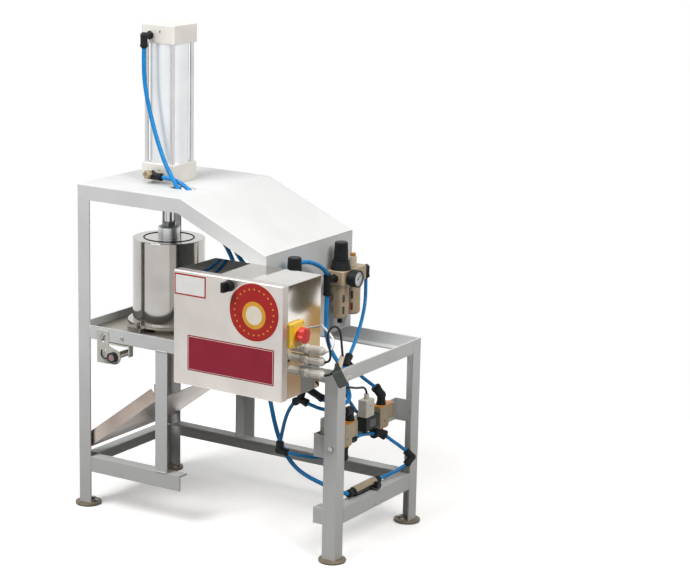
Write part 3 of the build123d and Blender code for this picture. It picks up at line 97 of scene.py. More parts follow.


def grainedSurface(name, tones, rough, grainMm, bumpMm, cloudMm=45.0, fixed=None, edgeMm=0.8, wornAndHighlitEdge=None, darkerLow=None):
    # cloudy tone, broken gloss and a fine grain, for moulded, cast and painted finishes
    material, tree, surface, place = newMaterial(name, fixed or {})
    cloud = addNode(tree, "TexNoise", {}, {"Vector": place, "Scale": perMetre(cloudMm), "Detail": 4.0}).outputs["Fac"]
    grain = addNode(tree, "TexNoise", {}, {"Vector": place, "Scale": perMetre(grainMm), "Detail": 2.0}).outputs["Fac"]
    tone = addNode(tree, "ValToRGB", {}, {"Fac": cloud}, zip(toneEnds, tones)).outputs["Color"]
    soft = addNode(tree, "Bevel", {"samples": edgeSamples}, {"Radius": edgeMm * mm}).outputs["Normal"]
    if darkerLow:
        # darker towards the bottom: strongest at the feet and gone at the given height
        height = addNode(tree, "SeparateXYZ", {}, {"Vector": place}).outputs["Z"]
        lowShare = addNode(tree, "MapRange", {}, {"Value": height, "From Min": darkerLow["topMm"] * mm, "From Max": 0.0,
                                                 "To Max": darkerLow["most"]}).outputs["Result"]
        patchy = addNode(tree, "Math", {"operation": "MULTIPLY_ADD"},
                         {0: cloud, 1: darkerLowPatches["spread"], 2: darkerLowPatches["least"]}).outputs[0]
        share = addNode(tree, "Math", {"operation": "MULTIPLY"}, {0: lowShare, 1: patchy}).outputs[0]
        tone = addNode(tree, "MixRGB", {}, {"Fac": share, "Color1": tone,
                                            "Color2": linear(darkerLow["tone"])}).outputs["Color"]
    if wornAndHighlitEdge:
        # the coat thins to another tone where an edge is rubbed, and the paler tone also paints a highlight along the
        # edge
        flat = addNode(tree, "NewGeometry").outputs["Normal"]
        turn = addNode(tree, "VectorMath", {"operation": "DOT_PRODUCT"}, {0: soft, 1: flat}).outputs["Value"]
        rubbedAndHighlit = addNode(tree, "MapRange", {}, {"Value": turn, "From Min": edgeWearAndHighlight["starts"],
                                                "From Max": edgeWearAndHighlight["full"],
                                                "To Max": edgeWearAndHighlight["most"]}).outputs["Result"]
        patchy = addNode(tree, "Math", {"operation": "MULTIPLY"}, {0: rubbedAndHighlit, 1: cloud}).outputs[0]
        tone = addNode(tree, "MixRGB", {}, {"Fac": patchy, "Color1": tone, "Color2": linear(wornAndHighlitEdge)}).outputs["Color"]
    gloss = addNode(tree, "MapRange", {}, {"Value": cloud, "To Min": rough[0], "To Max": rough[1]}).outputs["Result"]
    bump = addNode(tree, "Bump", {}, {"Height": grain, "Strength": 0.4, "Distance": bumpMm * mm,
                                      "Normal": soft}).outputs["Normal"]
    linkLooks(tree, surface, {"Base Color": tone, "Roughness": gloss, "Normal": bump})
    return material


def brushedSurface(name, tones, rough, along, lineMm, lengthMm, bumpMm, waveMm=120.0, waveDeepMm=0.0, edgeMm=1.0,
                   cloudMm=90.0):
    # metal with lines that run along one axis, as a belt or a lathe leaves them, on a sheet that is a little wavy
    material, tree, surface, place = newMaterial(name, {"Metallic": 1.0})
    scale = [perMetre(lineMm)] * 3
    scale["xyz".index(along)] = perMetre(lengthMm)
    stretched = addNode(tree, "Mapping", {}, {"Vector": place, "Scale": scale}).outputs["Vector"]
    lines = addNode(tree, "TexNoise", {}, {"Vector": stretched, "Scale": 1.0, "Detail": 3.0}).outputs["Fac"]
    cloud = addNode(tree, "TexNoise", {}, {"Vector": place, "Scale": perMetre(cloudMm), "Detail": 3.0}).outputs["Fac"]
    swell = addNode(tree, "TexNoise", {}, {"Vector": place, "Scale": perMetre(waveMm), "Detail": 1.0}).outputs["Fac"]
    tone = addNode(tree, "ValToRGB", {}, {"Fac": cloud}, zip(toneEnds, tones)).outputs["Color"]
    gloss = addNode(tree, "MapRange", {}, {"Value": lines, "To Min": rough[0], "To Max": rough[1]}).outputs["Result"]
    soft = addNode(tree, "Bevel", {"samples": edgeSamples}, {"Radius": edgeMm * mm}).outputs["Normal"]
    wavy = addNode(tree, "Bump", {}, {"Height": swell, "Strength": 1.0, "Distance": waveDeepMm * mm,
                                      "Normal": soft}).outputs["Normal"]
    bump = addNode(tree, "Bump", {}, {"Height": lines, "Strength": 0.3, "Distance": bumpMm * mm,
                                      "Normal": wavy}).outputs["Normal"]
    linkLooks(tree, surface, {"Base Color": tone, "Roughness": gloss, "Normal": bump})
    return material


def zonedSurface(name, direction, cuts, zones, rough, grainMm=1.2, bumpMm=0.05, cloudMm=22.0, edgeMm=0.7):
    # one part in several finishes, each (tone, tone, metal), with a cut between two in millimetres along a direction
    material, tree, surface, place = newMaterial(name, {"IOR": 1.53, "Specular IOR Level": 0.25})
    along = addNode(tree, "VectorMath", {"operation": "DOT_PRODUCT"}, {0: place, 1: direction}).outputs["Value"]
    cloud = addNode(tree, "TexNoise", {}, {"Vector": place, "Scale": perMetre(cloudMm), "Detail": 3.0}).outputs["Fac"]
    grain = addNode(tree, "TexNoise", {}, {"Vector": place, "Scale": perMetre(grainMm), "Detail": 2.0}).outputs["Fac"]
    tones = [addNode(tree, "ValToRGB", {}, {"Fac": cloud}, zip(toneEnds, zone)).outputs["Color"] for zone in zones]
    metals = [zone[2] for zone in zones]
    tone, metal = tones[0], metals[0]
    for k, cut in enumerate(cuts):
        past = addNode(tree, "Math", {"operation": "GREATER_THAN"}, {0: along, 1: cut * mm}).outputs[0]
        tone = addNode(tree, "MixRGB", {}, {"Fac": past, "Color1": tone, "Color2": tones[k + 1]}).outputs["Color"]
        metal = addNode(tree, "MapRange", {}, {"Value": past, "To Min": metal,
                                               "To Max": metals[k + 1]}).outputs["Result"]
    gloss = addNode(tree, "MapRange", {}, {"Value": cloud, "To Min": rough[0], "To Max": rough[1]}).outputs["Result"]
    soft = addNode(tree, "Bevel", {"samples": edgeSamples}, {"Radius": edgeMm * mm}).outputs["Normal"]
    bump = addNode(tree, "Bump", {}, {"Height": grain, "Strength": 0.4, "Distance": bumpMm * mm,
                                      "Normal": soft}).outputs["Normal"]
    looks = {"Base Color": tone, "Roughness": gloss, "Normal": bump}
    if any(metals):
        looks["Metallic"] = metal
    linkLooks(tree, surface, looks)
    return material


# Powder-coated mild steel: an even light grey with a faint orange peel, rubbed edges with a painted highlight, and
# darker towards the bottom
powderGrey = grainedSurface(
    "powderCoatedSteel", tones=("cacccc", "d2d4d4"), rough=(0.42, 0.54), grainMm=2.6, bumpMm=0.12,
    cloudMm=120.0, fixed={"IOR": 1.5, "Specular IOR Level": 0.3}, edgeMm=1.4, wornAndHighlitEdge="e4e5e5",
    darkerLow=dict(topMm=460.0, most=0.36, tone="92918e"))
# Brushed stainless sheet, bright and a little warm: the grit's lines are drawn coarser than real so that they show
trayStainless = brushedSurface(
    "brushedStainlessTray", tones=("c4beb9", "cec8c4"), rough=(0.30, 0.42), along="x", lineMm=1.4,
    lengthMm=160.0, bumpMm=0.02, waveMm=220.0, waveDeepMm=0.25, edgeMm=1.5)
# Mill-polished stainless: the box's sides mirror the room in soft waves
shellStainless = brushedSurface(
    "polishedStainlessShell", tones=("cfccc8", "d9d6d2"), rough=(0.04, 0.08), along="z", lineMm=1.6,
    lengthMm=120.0, bumpMm=0.004, waveMm=130.0, waveDeepMm=0.12)
# Turned and polished stainless: long clean streaks round the barrel
barrelStainless = brushedSurface(
    "polishedStainlessBarrel", tones=("b4b0ac", "c2bfbb"), rough=(0.07, 0.16), along="z", lineMm=1.2,
    lengthMm=200.0, bumpMm=0.01, waveMm=140.0, waveDeepMm=0.2)
# Folded stainless chute sheet, wiped clean: dull and streaky, its tones set darker and warmer as painted shade for its
# place low under the table
chuteStainless = brushedSurface(
    "wipedStainlessChutePaintedShade", tones=("8c8078", "a79c94"), rough=(0.22, 0.38), along="x", lineMm=1.6,
    lengthMm=140.0, bumpMm=0.02, waveMm=90.0, waveDeepMm=0.3)
# Table sheet: scuffed stainless, its tones set darker as painted shade for its place under the cover
tableStainless = brushedSurface(
    "scuffedStainlessTablePaintedShade", tones=("a39f95", "b5b1a7"), rough=(0.32, 0.50), along="x", lineMm=1.4,
    lengthMm=90.0, bumpMm=0.03)
# Die-cast aluminium, fine-blasted: warm pale end caps, matt, their edges paler as rubbed wear and a painted highlight
castAlloy = grainedSurface(
    "blastedCastAluminium", tones=("d8d5cf", "e2dfda"), rough=(0.46, 0.58), grainMm=1.4, bumpMm=0.06,
    cloudMm=60.0, fixed={"Metallic": 0.55}, edgeMm=1.2, wornAndHighlitEdge="e6e4e0")
# Drawn and anodised aluminium tube: satin with long drawing lines
drawnAlloy = brushedSurface(
    "anodisedAluminiumTube", tones=("dcdfe0", "e6e8e9"), rough=(0.34, 0.44), along="z", lineMm=1.8,
    lengthMm=300.0, bumpMm=0.02)
# Hard chrome on ground steel: near mirror
hardChrome = brushedSurface(
    "hardChrome", tones=("c9c9ca", "d8d8d9"), rough=(0.05, 0.10), along="z", lineMm=0.8, lengthMm=60.0,
    bumpMm=0.005)
# Zinc-plated steel: dull bright hexagons
zincPlate = grainedSurface(
    "zincPlatedSteel", tones=("8d8d8a", "a4a3a0"), rough=(0.30, 0.44), grainMm=0.9, bumpMm=0.04, cloudMm=9.0,
    fixed={"Metallic": 1.0})
# Painted bracket sheet: pale, a little yellow beside the frame
bracketPaint = grainedSurface(
    "paintedBracketSteel", tones=("bdbdb5", "c9c9c1"), rough=(0.36, 0.48), grainMm=1.8, bumpMm=0.08,
    cloudMm=30.0, fixed={"IOR": 1.5}, edgeMm=1.0)
# Moulded black glass-filled nylon: matt, grainy, a grey sheen in light, and grey edges as rubbed wear and a painted
# highlight
blackNylon = grainedSurface(
    "blackGlassFilledNylon", tones=("131617", "1d2021"), rough=(0.40, 0.55), grainMm=0.7, bumpMm=0.06,
    cloudMm=14.0, fixed={"IOR": 1.53, "Specular IOR Level": 0.15}, edgeMm=0.6, wornAndHighlitEdge="4a4e4f")
# White nylon: a slightly waxy off-white
whiteNylon = grainedSurface(
    "whiteNylon", tones=("dedbd2", "e8e5dd"), rough=(0.32, 0.44), grainMm=0.8, bumpMm=0.03, cloudMm=18.0,
    fixed={"IOR": 1.53, "Subsurface Weight": 0.08, "Subsurface Radius": (0.002, 0.002, 0.002)}, edgeMm=0.6)
# Yellow and red ABS: clean moulded gloss
yellowAbs = grainedSurface(
    "yellowAbs", tones=("fdd034", "ffd942"), rough=(0.28, 0.38), grainMm=1.2, bumpMm=0.03, cloudMm=25.0,
    fixed={"IOR": 1.54})
redAbs = grainedSurface(
    "redAbs", tones=("cf271f", "db3028"), rough=(0.26, 0.36), grainMm=1.2, bumpMm=0.03, cloudMm=22.0,
    fixed={"IOR": 1.54})
# Champagne epoxy paint on die-cast zinc: a grey-brown with a metal glint, its edges paler as rubbed wear and a painted
# highlight
champagne = grainedSurface(
    "champagneEpoxyPaint", tones=("a5937a", "b5a389"), rough=(0.34, 0.46), grainMm=1.5, bumpMm=0.05,
    cloudMm=30.0, fixed={"Metallic": 0.25}, edgeMm=0.8, wornAndHighlitEdge="bdb096")
# The same paint on the valve blocks: a shade deeper, with paler rubbed edges that are also a painted highlight
valvePaint = grainedSurface(
    "deepChampagneEpoxyPaint", tones=("9f8f75", "ad9d83"), rough=(0.34, 0.46), grainMm=1.5, bumpMm=0.05,
    cloudMm=30.0, fixed={"Metallic": 0.2}, edgeMm=0.8, wornAndHighlitEdge="c4b69c")
# Amber acetal end plates of the valves: waxy and deep in colour
amberAcetal = grainedSurface(
    "amberAcetal", tones=("c67a22", "d58a30"), rough=(0.30, 0.42), grainMm=1.0, bumpMm=0.03, cloudMm=14.0,
    fixed={"IOR": 1.48}, edgeMm=0.5)
# Encapsulated coil: dark green-grey thermoset, matt
coilResin = grainedSurface(
    "encapsulatedCoilResin", tones=("1f2422", "2a302d"), rough=(0.44, 0.58), grainMm=0.9, bumpMm=0.05,
    cloudMm=18.0, fixed={"IOR": 1.55, "Specular IOR Level": 0.2})
# Clear-tinted connector moulding, light beige grey
connectorPlastic = grainedSurface(
    "tintedConnectorPolyamide", tones=("c2bcb0", "d2cdc3"), rough=(0.24, 0.36), grainMm=1.0, bumpMm=0.03,
    cloudMm=14.0, fixed={"IOR": 1.53}, edgeMm=0.6)
# Turned brass, dulled: a soft grey-gold
dullBrass = grainedSurface(
    "dulledBrass", tones=("9a8b70", "ab9c80"), rough=(0.36, 0.48), grainMm=0.9, bumpMm=0.03, cloudMm=8.0,
    fixed={"Metallic": 0.6}, edgeMm=0.4)
# Pressed wood-fibre feet under a brown lacquer: matt, paler at the rim as rubbed wear and a painted highlight
footLacquer = grainedSurface(
    "lacqueredFibreFoot", tones=("665c4c", "786c5a"), rough=(0.42, 0.58), grainMm=1.6, bumpMm=0.10,
    cloudMm=16.0, fixed={"IOR": 1.5}, edgeMm=0.8, wornAndHighlitEdge="a09380")
# Black rubber of the seal, wiper lip and leads: dull, with hardly a highlight
blackRubber = grainedSurface(
    "blackRubber", tones=("17191a", "232627"), rough=(0.48, 0.62), grainMm=1.0, bumpMm=0.04, cloudMm=12.0,
    fixed={"IOR": 1.52, "Specular IOR Level": 0.2}, edgeMm=0.3)
# White PVC sheath: an even soft white
whitePvc = grainedSurface(
    "whitePvcSheath", tones=("e0e0dc", "ecece8"), rough=(0.34, 0.44), grainMm=1.2, bumpMm=0.02, cloudMm=20.0,
    fixed={"IOR": 1.53}, edgeMm=0.3)
# Gear housings inside the closed box: even grey polycarbonate
gearGrey = grainedSurface(
    "greyPolycarbonate", tones=("8c8f90", "9a9d9e"), rough=(0.38, 0.48), grainMm=1.0, bumpMm=0.03, cloudMm=30.0,
    fixed={"IOR": 1.58})
# Printed vinyl films on the box: flat, even colour under a low gloss
film = dict(grainMm=1.4, bumpMm=0.01, fixed={"IOR": 1.5, "Specular IOR Level": 0.25}, edgeMm=0.1)
redVinyl = grainedSurface("redVinylFilm", tones=("a3201f", "ad2826"), rough=(0.30, 0.38), cloudMm=40.0, **film)
maroonVinyl = grainedSurface("maroonVinylFilm", tones=("8a1a30", "951f37"), rough=(0.30, 0.38), cloudMm=40.0, **film)
creamVinyl = grainedSurface("creamVinylFilm", tones=("e4dbca", "ece4d5"), rough=(0.30, 0.38), cloudMm=30.0, **film)
whiteVinyl = grainedSurface("whiteVinylFilm", tones=("e6e6e4", "eeeeec"), rough=(0.28, 0.36), cloudMm=30.0, **film)
amberVinyl = grainedSurface("amberVinylFilm", tones=("d3982f", "e0a93f"), rough=(0.30, 0.38), cloudMm=20.0, **film)
# Dial enamel and its black print: an even white and a flat black
dialEnamel = grainedSurface(
    "whiteDialEnamel", tones=("dfe2e4", "e9ebec"), rough=(0.30, 0.36), grainMm=0.8, bumpMm=0.005, cloudMm=10.0,
    fixed={"IOR": 1.5}, edgeMm=0.1)
dialInk = grainedSurface(
    "blackDialInk", tones=("141414", "1e1e1e"), rough=(0.35, 0.45), grainMm=0.5, bumpMm=0.004, cloudMm=5.0,
    fixed={"IOR": 1.5}, edgeMm=0.1)
# Polycarbonate sights: one smoky, one red with oil, one rosy in front of a lamp
smokySight = grainedSurface(
    "smokyPolycarbonate", tones=("201d17", "2f2a22"), rough=(0.10, 0.18), grainMm=1.0, bumpMm=0.01, cloudMm=9.0,
    fixed={"IOR": 1.58}, edgeMm=0.3)
redSight = grainedSurface(
    "oilRedPolycarbonate", tones=("7c2412", "94301a"), rough=(0.10, 0.18), grainMm=1.0, bumpMm=0.01,
    cloudMm=9.0, fixed={"IOR": 1.58}, edgeMm=0.3)
rosyLens = grainedSurface(
    "rosyPolycarbonateLens", tones=("94707a", "b08c94"), rough=(0.12, 0.22), grainMm=1.0, bumpMm=0.01,
    cloudMm=6.0, fixed={"IOR": 1.58}, edgeMm=0.3)
# Lubricator: champagne body under a pale collar and an amber filler dome
lubricatorZones = zonedSurface(
    "champagneAndAmberLubricator", direction=(0, 0, 1), cuts=(722.5, 748.5),
    zones=[("a5937a", "b5a389", 0.2), ("c3baa8", "d0c8b8", 0.0), ("a56c28", "b67d35", 0.0)], rough=(0.30, 0.42))
# Flow control: black nylon underneath, beige acetal on top
flowZones = zonedSurface(
    "beigeAndBlackFlowControl", direction=(0, 0, 1), cuts=(163.5,),
    zones=[("1b1e1f", "26292a", 0.0), ("a2947c", "b1a38b", 0.0)], rough=(0.34, 0.46))
# Ball sensor: black nylon head on a nickelled barrel
sensorZones = zonedSurface(
    "blackHeadNickelBarrel", direction=(0, 1, 0), cuts=(-216.5,),
    zones=[("202324", "2b2e2f", 0.0), ("a5a39c", "b8b6af", 1.0)], rough=(0.24, 0.36))
# Lead plug: grey-black moulded PVC body with nickelled pins on one side
plugFacts = dict(centre=Vector((470.3, -270.9, 530.5)), pinSide=Vector((0.708, 0.556, 0.436)), bodyHalf=13.4)
plugZones = zonedSurface(
    "mouldedPvcPlugNickelPins", direction=tuple(plugFacts["pinSide"]),
    cuts=(plugFacts["centre"].dot(plugFacts["pinSide"]) + plugFacts["bodyHalf"],),
    zones=[("343936", "444945", 0.0), ("b9ae9c", "c8beac", 1.0)], rough=(0.34, 0.46))

# Blue polyurethane air tube: glossy, slightly milky in its depth, with faint extrusion clouds
tubeLook = dict(tones=("0e78ba", "1888cb"), rough=(0.24, 0.34), cloudMm=22.0)
tubeBlue, tree, surface, place = newMaterial("bluePolyurethaneTube", {
    "IOR": 1.5, "Specular IOR Level": 0.2, "Coat Weight": 0.05, "Coat Roughness": 0.12,
    "Subsurface Weight": 0.12, "Subsurface Radius": (0.002, 0.003, 0.006)})
cloud = addNode(tree, "TexNoise", {}, {"Vector": place, "Scale": perMetre(tubeLook["cloudMm"]),
                                       "Detail": 3.0}).outputs["Fac"]
tone = addNode(tree, "ValToRGB", {}, {"Fac": cloud}, zip(toneEnds, tubeLook["tones"])).outputs["Color"]
gloss = addNode(tree, "MapRange", {}, {"Value": cloud, "To Min": tubeLook["rough"][0],
                                       "To Max": tubeLook["rough"][1]}).outputs["Result"]
linkLooks(tree, surface, {"Base Color": tone, "Roughness": gloss})

# Gauge glass: clear, with a smear that breaks its gloss
glassLook = dict(tone="f4f8fa", rough=(0.03, 0.12), smearMm=9.0)
gaugeGlass, tree, surface, place = newMaterial(
    "gaugeGlass", {"Base Color": linear(glassLook["tone"]), "Alpha": 0.14, "IOR": 1.5, "Coat Weight": 0.3})
smear = addNode(tree, "TexNoise", {}, {"Vector": place, "Scale": perMetre(glassLook["smearMm"]),
                                       "Detail": 3.0}).outputs["Fac"]
gloss = addNode(tree, "MapRange", {}, {"Value": smear, "To Min": glassLook["rough"][0],
                                       "To Max": glassLook["rough"][1]}).outputs["Result"]
linkLooks(tree, surface, {"Roughness": gloss})
print("materials made:", len(bpy.data.materials))

# Which finish each CAD node wears
finishes = {
    powderGrey: ["frame_uprights", "table_rails", "bottom_rails", "bridge_cover", "end_plate", "valve_bracket"],
    footLacquer: ["foot_discs"],
    tableStainless: ["table_plate", "cutter_guides"],
    castAlloy: ["ram_front_cap", "ram_rear_cap", "cutter_cylinder", "ram_piston"],
    drawnAlloy: ["ram_tube", "plunger_hub"],
    hardChrome: ["ram_rod", "cutter_rod", "ram_tie_rods"],
    barrelStainless: ["barrel_jacket", "barrel_liner", "barrel_feet", "nozzle_plate", "plunger_disc",
                      "cutter_blade"],
    chuteStainless: ["dough_chute"],
    zincPlate: ["fasteners", "rod_nut"],
    bracketPaint: ["sensor_bracket"],
    sensorZones: ["ball_sensor"],
    blackNylon: ["selector_base", "selector_knob", "regulator_trim", "filter_knob", "line_regulator_knob", "flow_knob",
                 "port_fittings", "inline_fittings", "pressure_gauge"],
    shellStainless: ["box_shell"],
    trayStainless: ["box_cover"],
    whiteNylon: ["cable_glands"],
    gearGrey: ["control_gear"],
    yellowAbs: ["estop_base"],
    redAbs: ["estop_button"],
    champagne: ["filter_regulator", "line_regulator", "bowl_guards"],
    flowZones: ["flow_control"],
    lubricatorZones: ["lubricator"],
    valvePaint: ["valve_bodies"],
    coilResin: ["valve_coils"],
    connectorPlastic: ["valve_connectors"],
    blackRubber: ["plunger_seal", "control_cables"],
    dialInk: ["gauge_needle"],
    tubeBlue: ["tube_ram_top", "tube_ram_bottom", "air_feed_tubes", "valve_tubes"],
    plugZones: ["lead_plug"],
}
for material, names in finishes.items():
    for name in names:
        nodes[name].data.materials.clear()
        nodes[name].data.materials.append(material)
print("finishes given to", sum(len(names) for names in finishes.values()), "nodes")


# Pieces, all measured in millimetres in the frame of the CAD
forming = dict(joinWithin=0.001, upright=0.99, onAxis=1e-4, plateRim=0.12, cornerSteps=5)
outward, rightward, upward, downward = (0, -1, 0), (1, 0, 0), (0, 0, 1), (0, 0, -1)


def keep(name, build, material, body="frame"):
    # a form built and cleaned, with its finish and its body
    form = bmesh.new()
    build(form)
    bmesh.ops.remove_doubles(form, verts=form.verts, dist=forming["joinWithin"] * mm)
    bmesh.ops.recalc_face_normals(form, faces=form.faces)
    mesh = bpy.data.meshes.new(name)
    form.to_mesh(mesh)
    form.free()
    mesh.materials.append(material)
    piece = bpy.data.objects.new(name, mesh)
    scene.collection.objects.link(piece)
    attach(piece, body)


def facing(origin, direction):
    # place whose Z axis points in a direction, with its Y axis as near upright as that leaves it
    out = Vector(direction).normalized()
    up = Vector((0, 1, 0)) if abs(out.z) > forming["upright"] else Vector((0, 0, 1))
    side = up.cross(out).normalized()
    turn = Matrix((side, out.cross(side), out)).transposed().to_4x4()
    return Matrix.Scale(mm, 4) @ Matrix.Translation(origin) @ turn


def turned(profile, steps, place):
    # solid of revolution from (radius, height) pairs about the placed Z axis
    def build(form):
        rings = []
        turns = [2 * math.pi * k / steps for k in range(steps)]
        for radius, height in profile:
            if radius < forming["onAxis"]:
                rings.append([form.verts.new(place @ Vector((0, 0, height)))])
            else:
                rings.append([form.verts.new(place @ Vector((radius * math.cos(t), radius * math.sin(t), height)))
                              for t in turns])
        for a, b in zip(rings, rings[1:]):
            for k in range(steps):
                n = (k + 1) % steps
                corners = [a[k % len(a)], a[n % len(a)], b[n % len(b)], b[k % len(b)]]
                face = list(dict.fromkeys(corners))  # a ring on the axis is one corner
                if len(face) > 2:
                    form.faces.new(face)
    return build


def plate(size, thick, corner, place):
    # flat plate with rounded corners and a broken upper edge, lying on the placed XY plane
    def build(form):
        rim = min(forming["plateRim"], thick / 3)
        steps = forming["cornerSteps"]
        levels = []
        for inset, height in ((0, 0), (0, thick - rim), (rim, thick)):
            outline = []
            reach = corner - inset
            for sx, sy, start in ((1, 1, 0), (-1, 1, 90), (-1, -1, 180), (1, -1, 270)):
                for k in range(steps + 1):
                    turn = math.radians(start + 90 * k / steps)
                    outline.append((sx * (size[0] / 2 - corner) + reach * math.cos(turn),
                                    sy * (size[1] / 2 - corner) + reach * math.sin(turn)))
            levels.append([form.verts.new(place @ Vector((a, b, height))) for a, b in outline])
        form.faces.new(levels[0][::-1])
        form.faces.new(levels[2])
        for low, high in zip(levels, levels[1:]):
            for k in range(len(low)):
                n = (k + 1) % len(low)
                form.faces.new([low[k], low[n], high[n], high[k]])
    return build


# Camera at the photograph's place, its focal length and width in pixels
camera = dict(eye=(3290.0, -4840.0, 2032.0), yaw=31.60, pitch=13.23, roll=1.24, focal=2164.8, width=690, sensor=36.0,
              near=0.1, far=200.0)
lens = bpy.data.cameras.new("photoCamera")
lens.sensor_width = camera["sensor"]
lens.lens = camera["sensor"] * camera["focal"] / camera["width"]
lens.clip_start, lens.clip_end = camera["near"], camera["far"]
viewer = bpy.data.objects.new("photoCamera", lens)
viewer.matrix_world = (Matrix.Translation(Vector(camera["eye"]) * mm)
                       @ Matrix.Rotation(math.radians(camera["yaw"]), 4, "Z")
                       @ Matrix.Rotation(math.radians(90 - camera["pitch"]), 4, "X")
                       @ Matrix.Rotation(math.radians(camera["roll"]), 4, "Z"))
scene.collection.objects.link(viewer)
scene.camera = viewer
print("camera set")

# Air tubes and cables on the routes of their CAD solids
airTube = dict(look=tubeBlue, slot="tube_blue", stiffness="medium", radius=5.0)
feedTube, valveTube = dict(airTube, node="air_feed_tubes"), dict(airTube, node="valve_tubes")
lead = dict(node="control_cables", radius=3.0, slot="cable_sheath", stiffness="limp")
tubes = {
    "ramTopTube": dict(airTube, node="tube_ram_top", radius=6.0, length=1450, points=[
        (-292, -95, 1308), (-293, -96, 1250), (-286, -96, 1188), (-268, -97, 1122), (-244, -99, 1056),
        (-216, -102, 996), (-186, -103, 950), (-154, -104, 912), (-119, -105, 882), (-83, -106, 860),
        (-47, -107, 835), (-15, -108, 806), (10, -109, 772), (32, -111, 732), (54, -116, 684), (78, -124, 631),
        (100, -132, 578), (122, -139, 524), (148, -146, 464), (173, -150, 405), (188, -151, 344),
        (206, -150, 289), (231, -150, 247), (265, -152, 218), (302, -158, 206), (338, -164, 200),
        (368, -162, 192), (390, -148, 181), (401, -128, 169), (404, -110, 162)]),
    "ramBottomTube": dict(airTube, node="tube_ram_bottom", radius=6.0, length=509, points=[
        (-236, -88, 951), (-206, -86, 950), (-174, -85, 942), (-142, -84, 923), (-110, -83, 900),
        (-76, -83, 876), (-44, -84, 850), (-16, -86, 818), (8, -88, 784), (32, -90, 754), (62, -91.5, 730),
        (97, -92.5, 714), (136, -93.5, 705), (178, -93, 702)]),
    "supplyTube": dict(feedTube, radius=6.0, length=444, points=[
        (238, 28, 662), (239, 25, 634), (242, 20, 603), (247, 13, 570), (258, 3, 545), (277, -13, 526),
        (301, -31, 513), (326, -48, 502), (349, -63, 488), (370, -80, 469), (389, -98, 449),
        (406, -114.5, 434.5), (410, -137, 425), (400, -159.5, 421.5), (380.5, -174.4, 426), (359, -176, 436)]),
    "linkTube": dict(feedTube, radius=6.0, length=270, points=[
        (238, 28, 718), (237, 17, 733), (233, -6, 749), (228, -34, 762), (222, -64, 769.5), (214, -92, 767),
        (208.5, -117, 758), (207.5, -143, 749), (209, -168, 741), (215, -189, 731), (228, -201, 718)]),
    "outletTube": dict(feedTube, length=297, points=[
        (238, 231, 676), (239, 231, 640), (245, 219, 602), (258, 184, 568), (277, 132, 538), (295, 78, 514),
        (305, 42, 498)]),
    "rearFeedTube": dict(feedTube, length=96, points=[
        (322, 30, 468), (333, 43, 453), (349, 62, 431), (366.7, 83, 410)]),
    "frontFeedTube": dict(feedTube, length=241, points=[
        (319, 1, 478), (326, -20, 467), (335, -38, 454), (346, -49, 436), (353.5, -48, 415.5),
        (355.5, -34, 395), (353, -11, 374), (347, 20, 348.5), (339, 61, 329.5)]),
    "branchDownTube": dict(valveTube, length=135, points=[
        (277, -186, 416), (261, -186, 396), (249, -186, 366), (240, -186, 332), (233, -186, 297)]),
    "frontLowTube": dict(valveTube, length=144, points=[
        (255, -184.5, 270), (286, -181, 268), (316, -166, 264), (341, -142, 261), (361, -109, 258)]),
    "branchValveTube": dict(valveTube, length=172, points=[
        (317, -186, 419), (336, -187, 415.5), (355, -187.5, 412), (373, -184.5, 410), (388, -175, 409),
        (396.5, -158.5, 407), (396, -139, 402), (389, -121, 394), (376, -93, 383)]),
    "flowOutTube": dict(valveTube, length=114, points=[
        (404, 46, 162), (406, 76, 162.5), (414, 102, 166), (425, 124, 174), (438, 141, 186)]),
    "rearLowTube": dict(valveTube, length=84, points=[
        (434, 145, 223), (420, 130.5, 240.2), (405, 115, 255.5), (390, 103, 271)]),
    "crossTube": dict(valveTube, length=109, points=[
        (376, 62, 283.5), (376, 37, 289.5), (376, 8, 295), (376, -16, 297), (376, -40, 296)]),
    "whiteCable": dict(lead, look=whitePvc, length=315, points=[
        (427.1, -278, 597), (436, -277, 599), (443, -272, 605), (444, -263.5, 613.5), (438, -254, 622),
        (427, -244, 629), (411, -233, 635), (390, -219, 640), (365, -202, 645), (332, -189, 648),
        (290, -180, 648), (244, -169, 644), (200, -160, 640)]),
    "valveCable": dict(lead, look=blackRubber, length=397, points=[
        (427.1, -278, 534), (436, -277.6, 535), (443, -273, 539), (446, -263, 544.5), (442.5, -250, 550),
        (436, -237, 553), (428.5, -225, 553), (421, -214, 548.5), (414, -203, 536), (408.5, -195, 515),
        (404.5, -188, 491), (402.5, -177, 474), (402, -160, 466), (402, -138, 463), (401, -114, 460),
        (398, -88, 453), (390, -58, 443.5), (382, -29, 436), (377.2, -3, 431), (376.2, 12, 424), (376, 19, 415),
        (376, 20.5, 407)]),
    "plugLead": dict(lead, look=blackRubber, length=210, points=[
        (427.1, -278, 569), (437, -279, 571), (445, -281, 580), (448, -284, 595), (446, -287, 613),
        (442, -289, 632), (441, -288.5, 650), (446, -285, 663.5), (454.5, -280.5, 670), (463, -276.5, 667.5),
        (469, -274, 656.5), (472, -273, 641), (474, -272.2, 618), (477, -272, 593)]),
}
tubeMaking = dict(seatDepth=3.0, lengthSteps=10, roundSteps=5)  # each end goes a seat's depth into what holds it
releaseRing = dict(wall=2.2, reach=3.2, lip=0.8, slip=0.15, seat=1.0, steps=28)


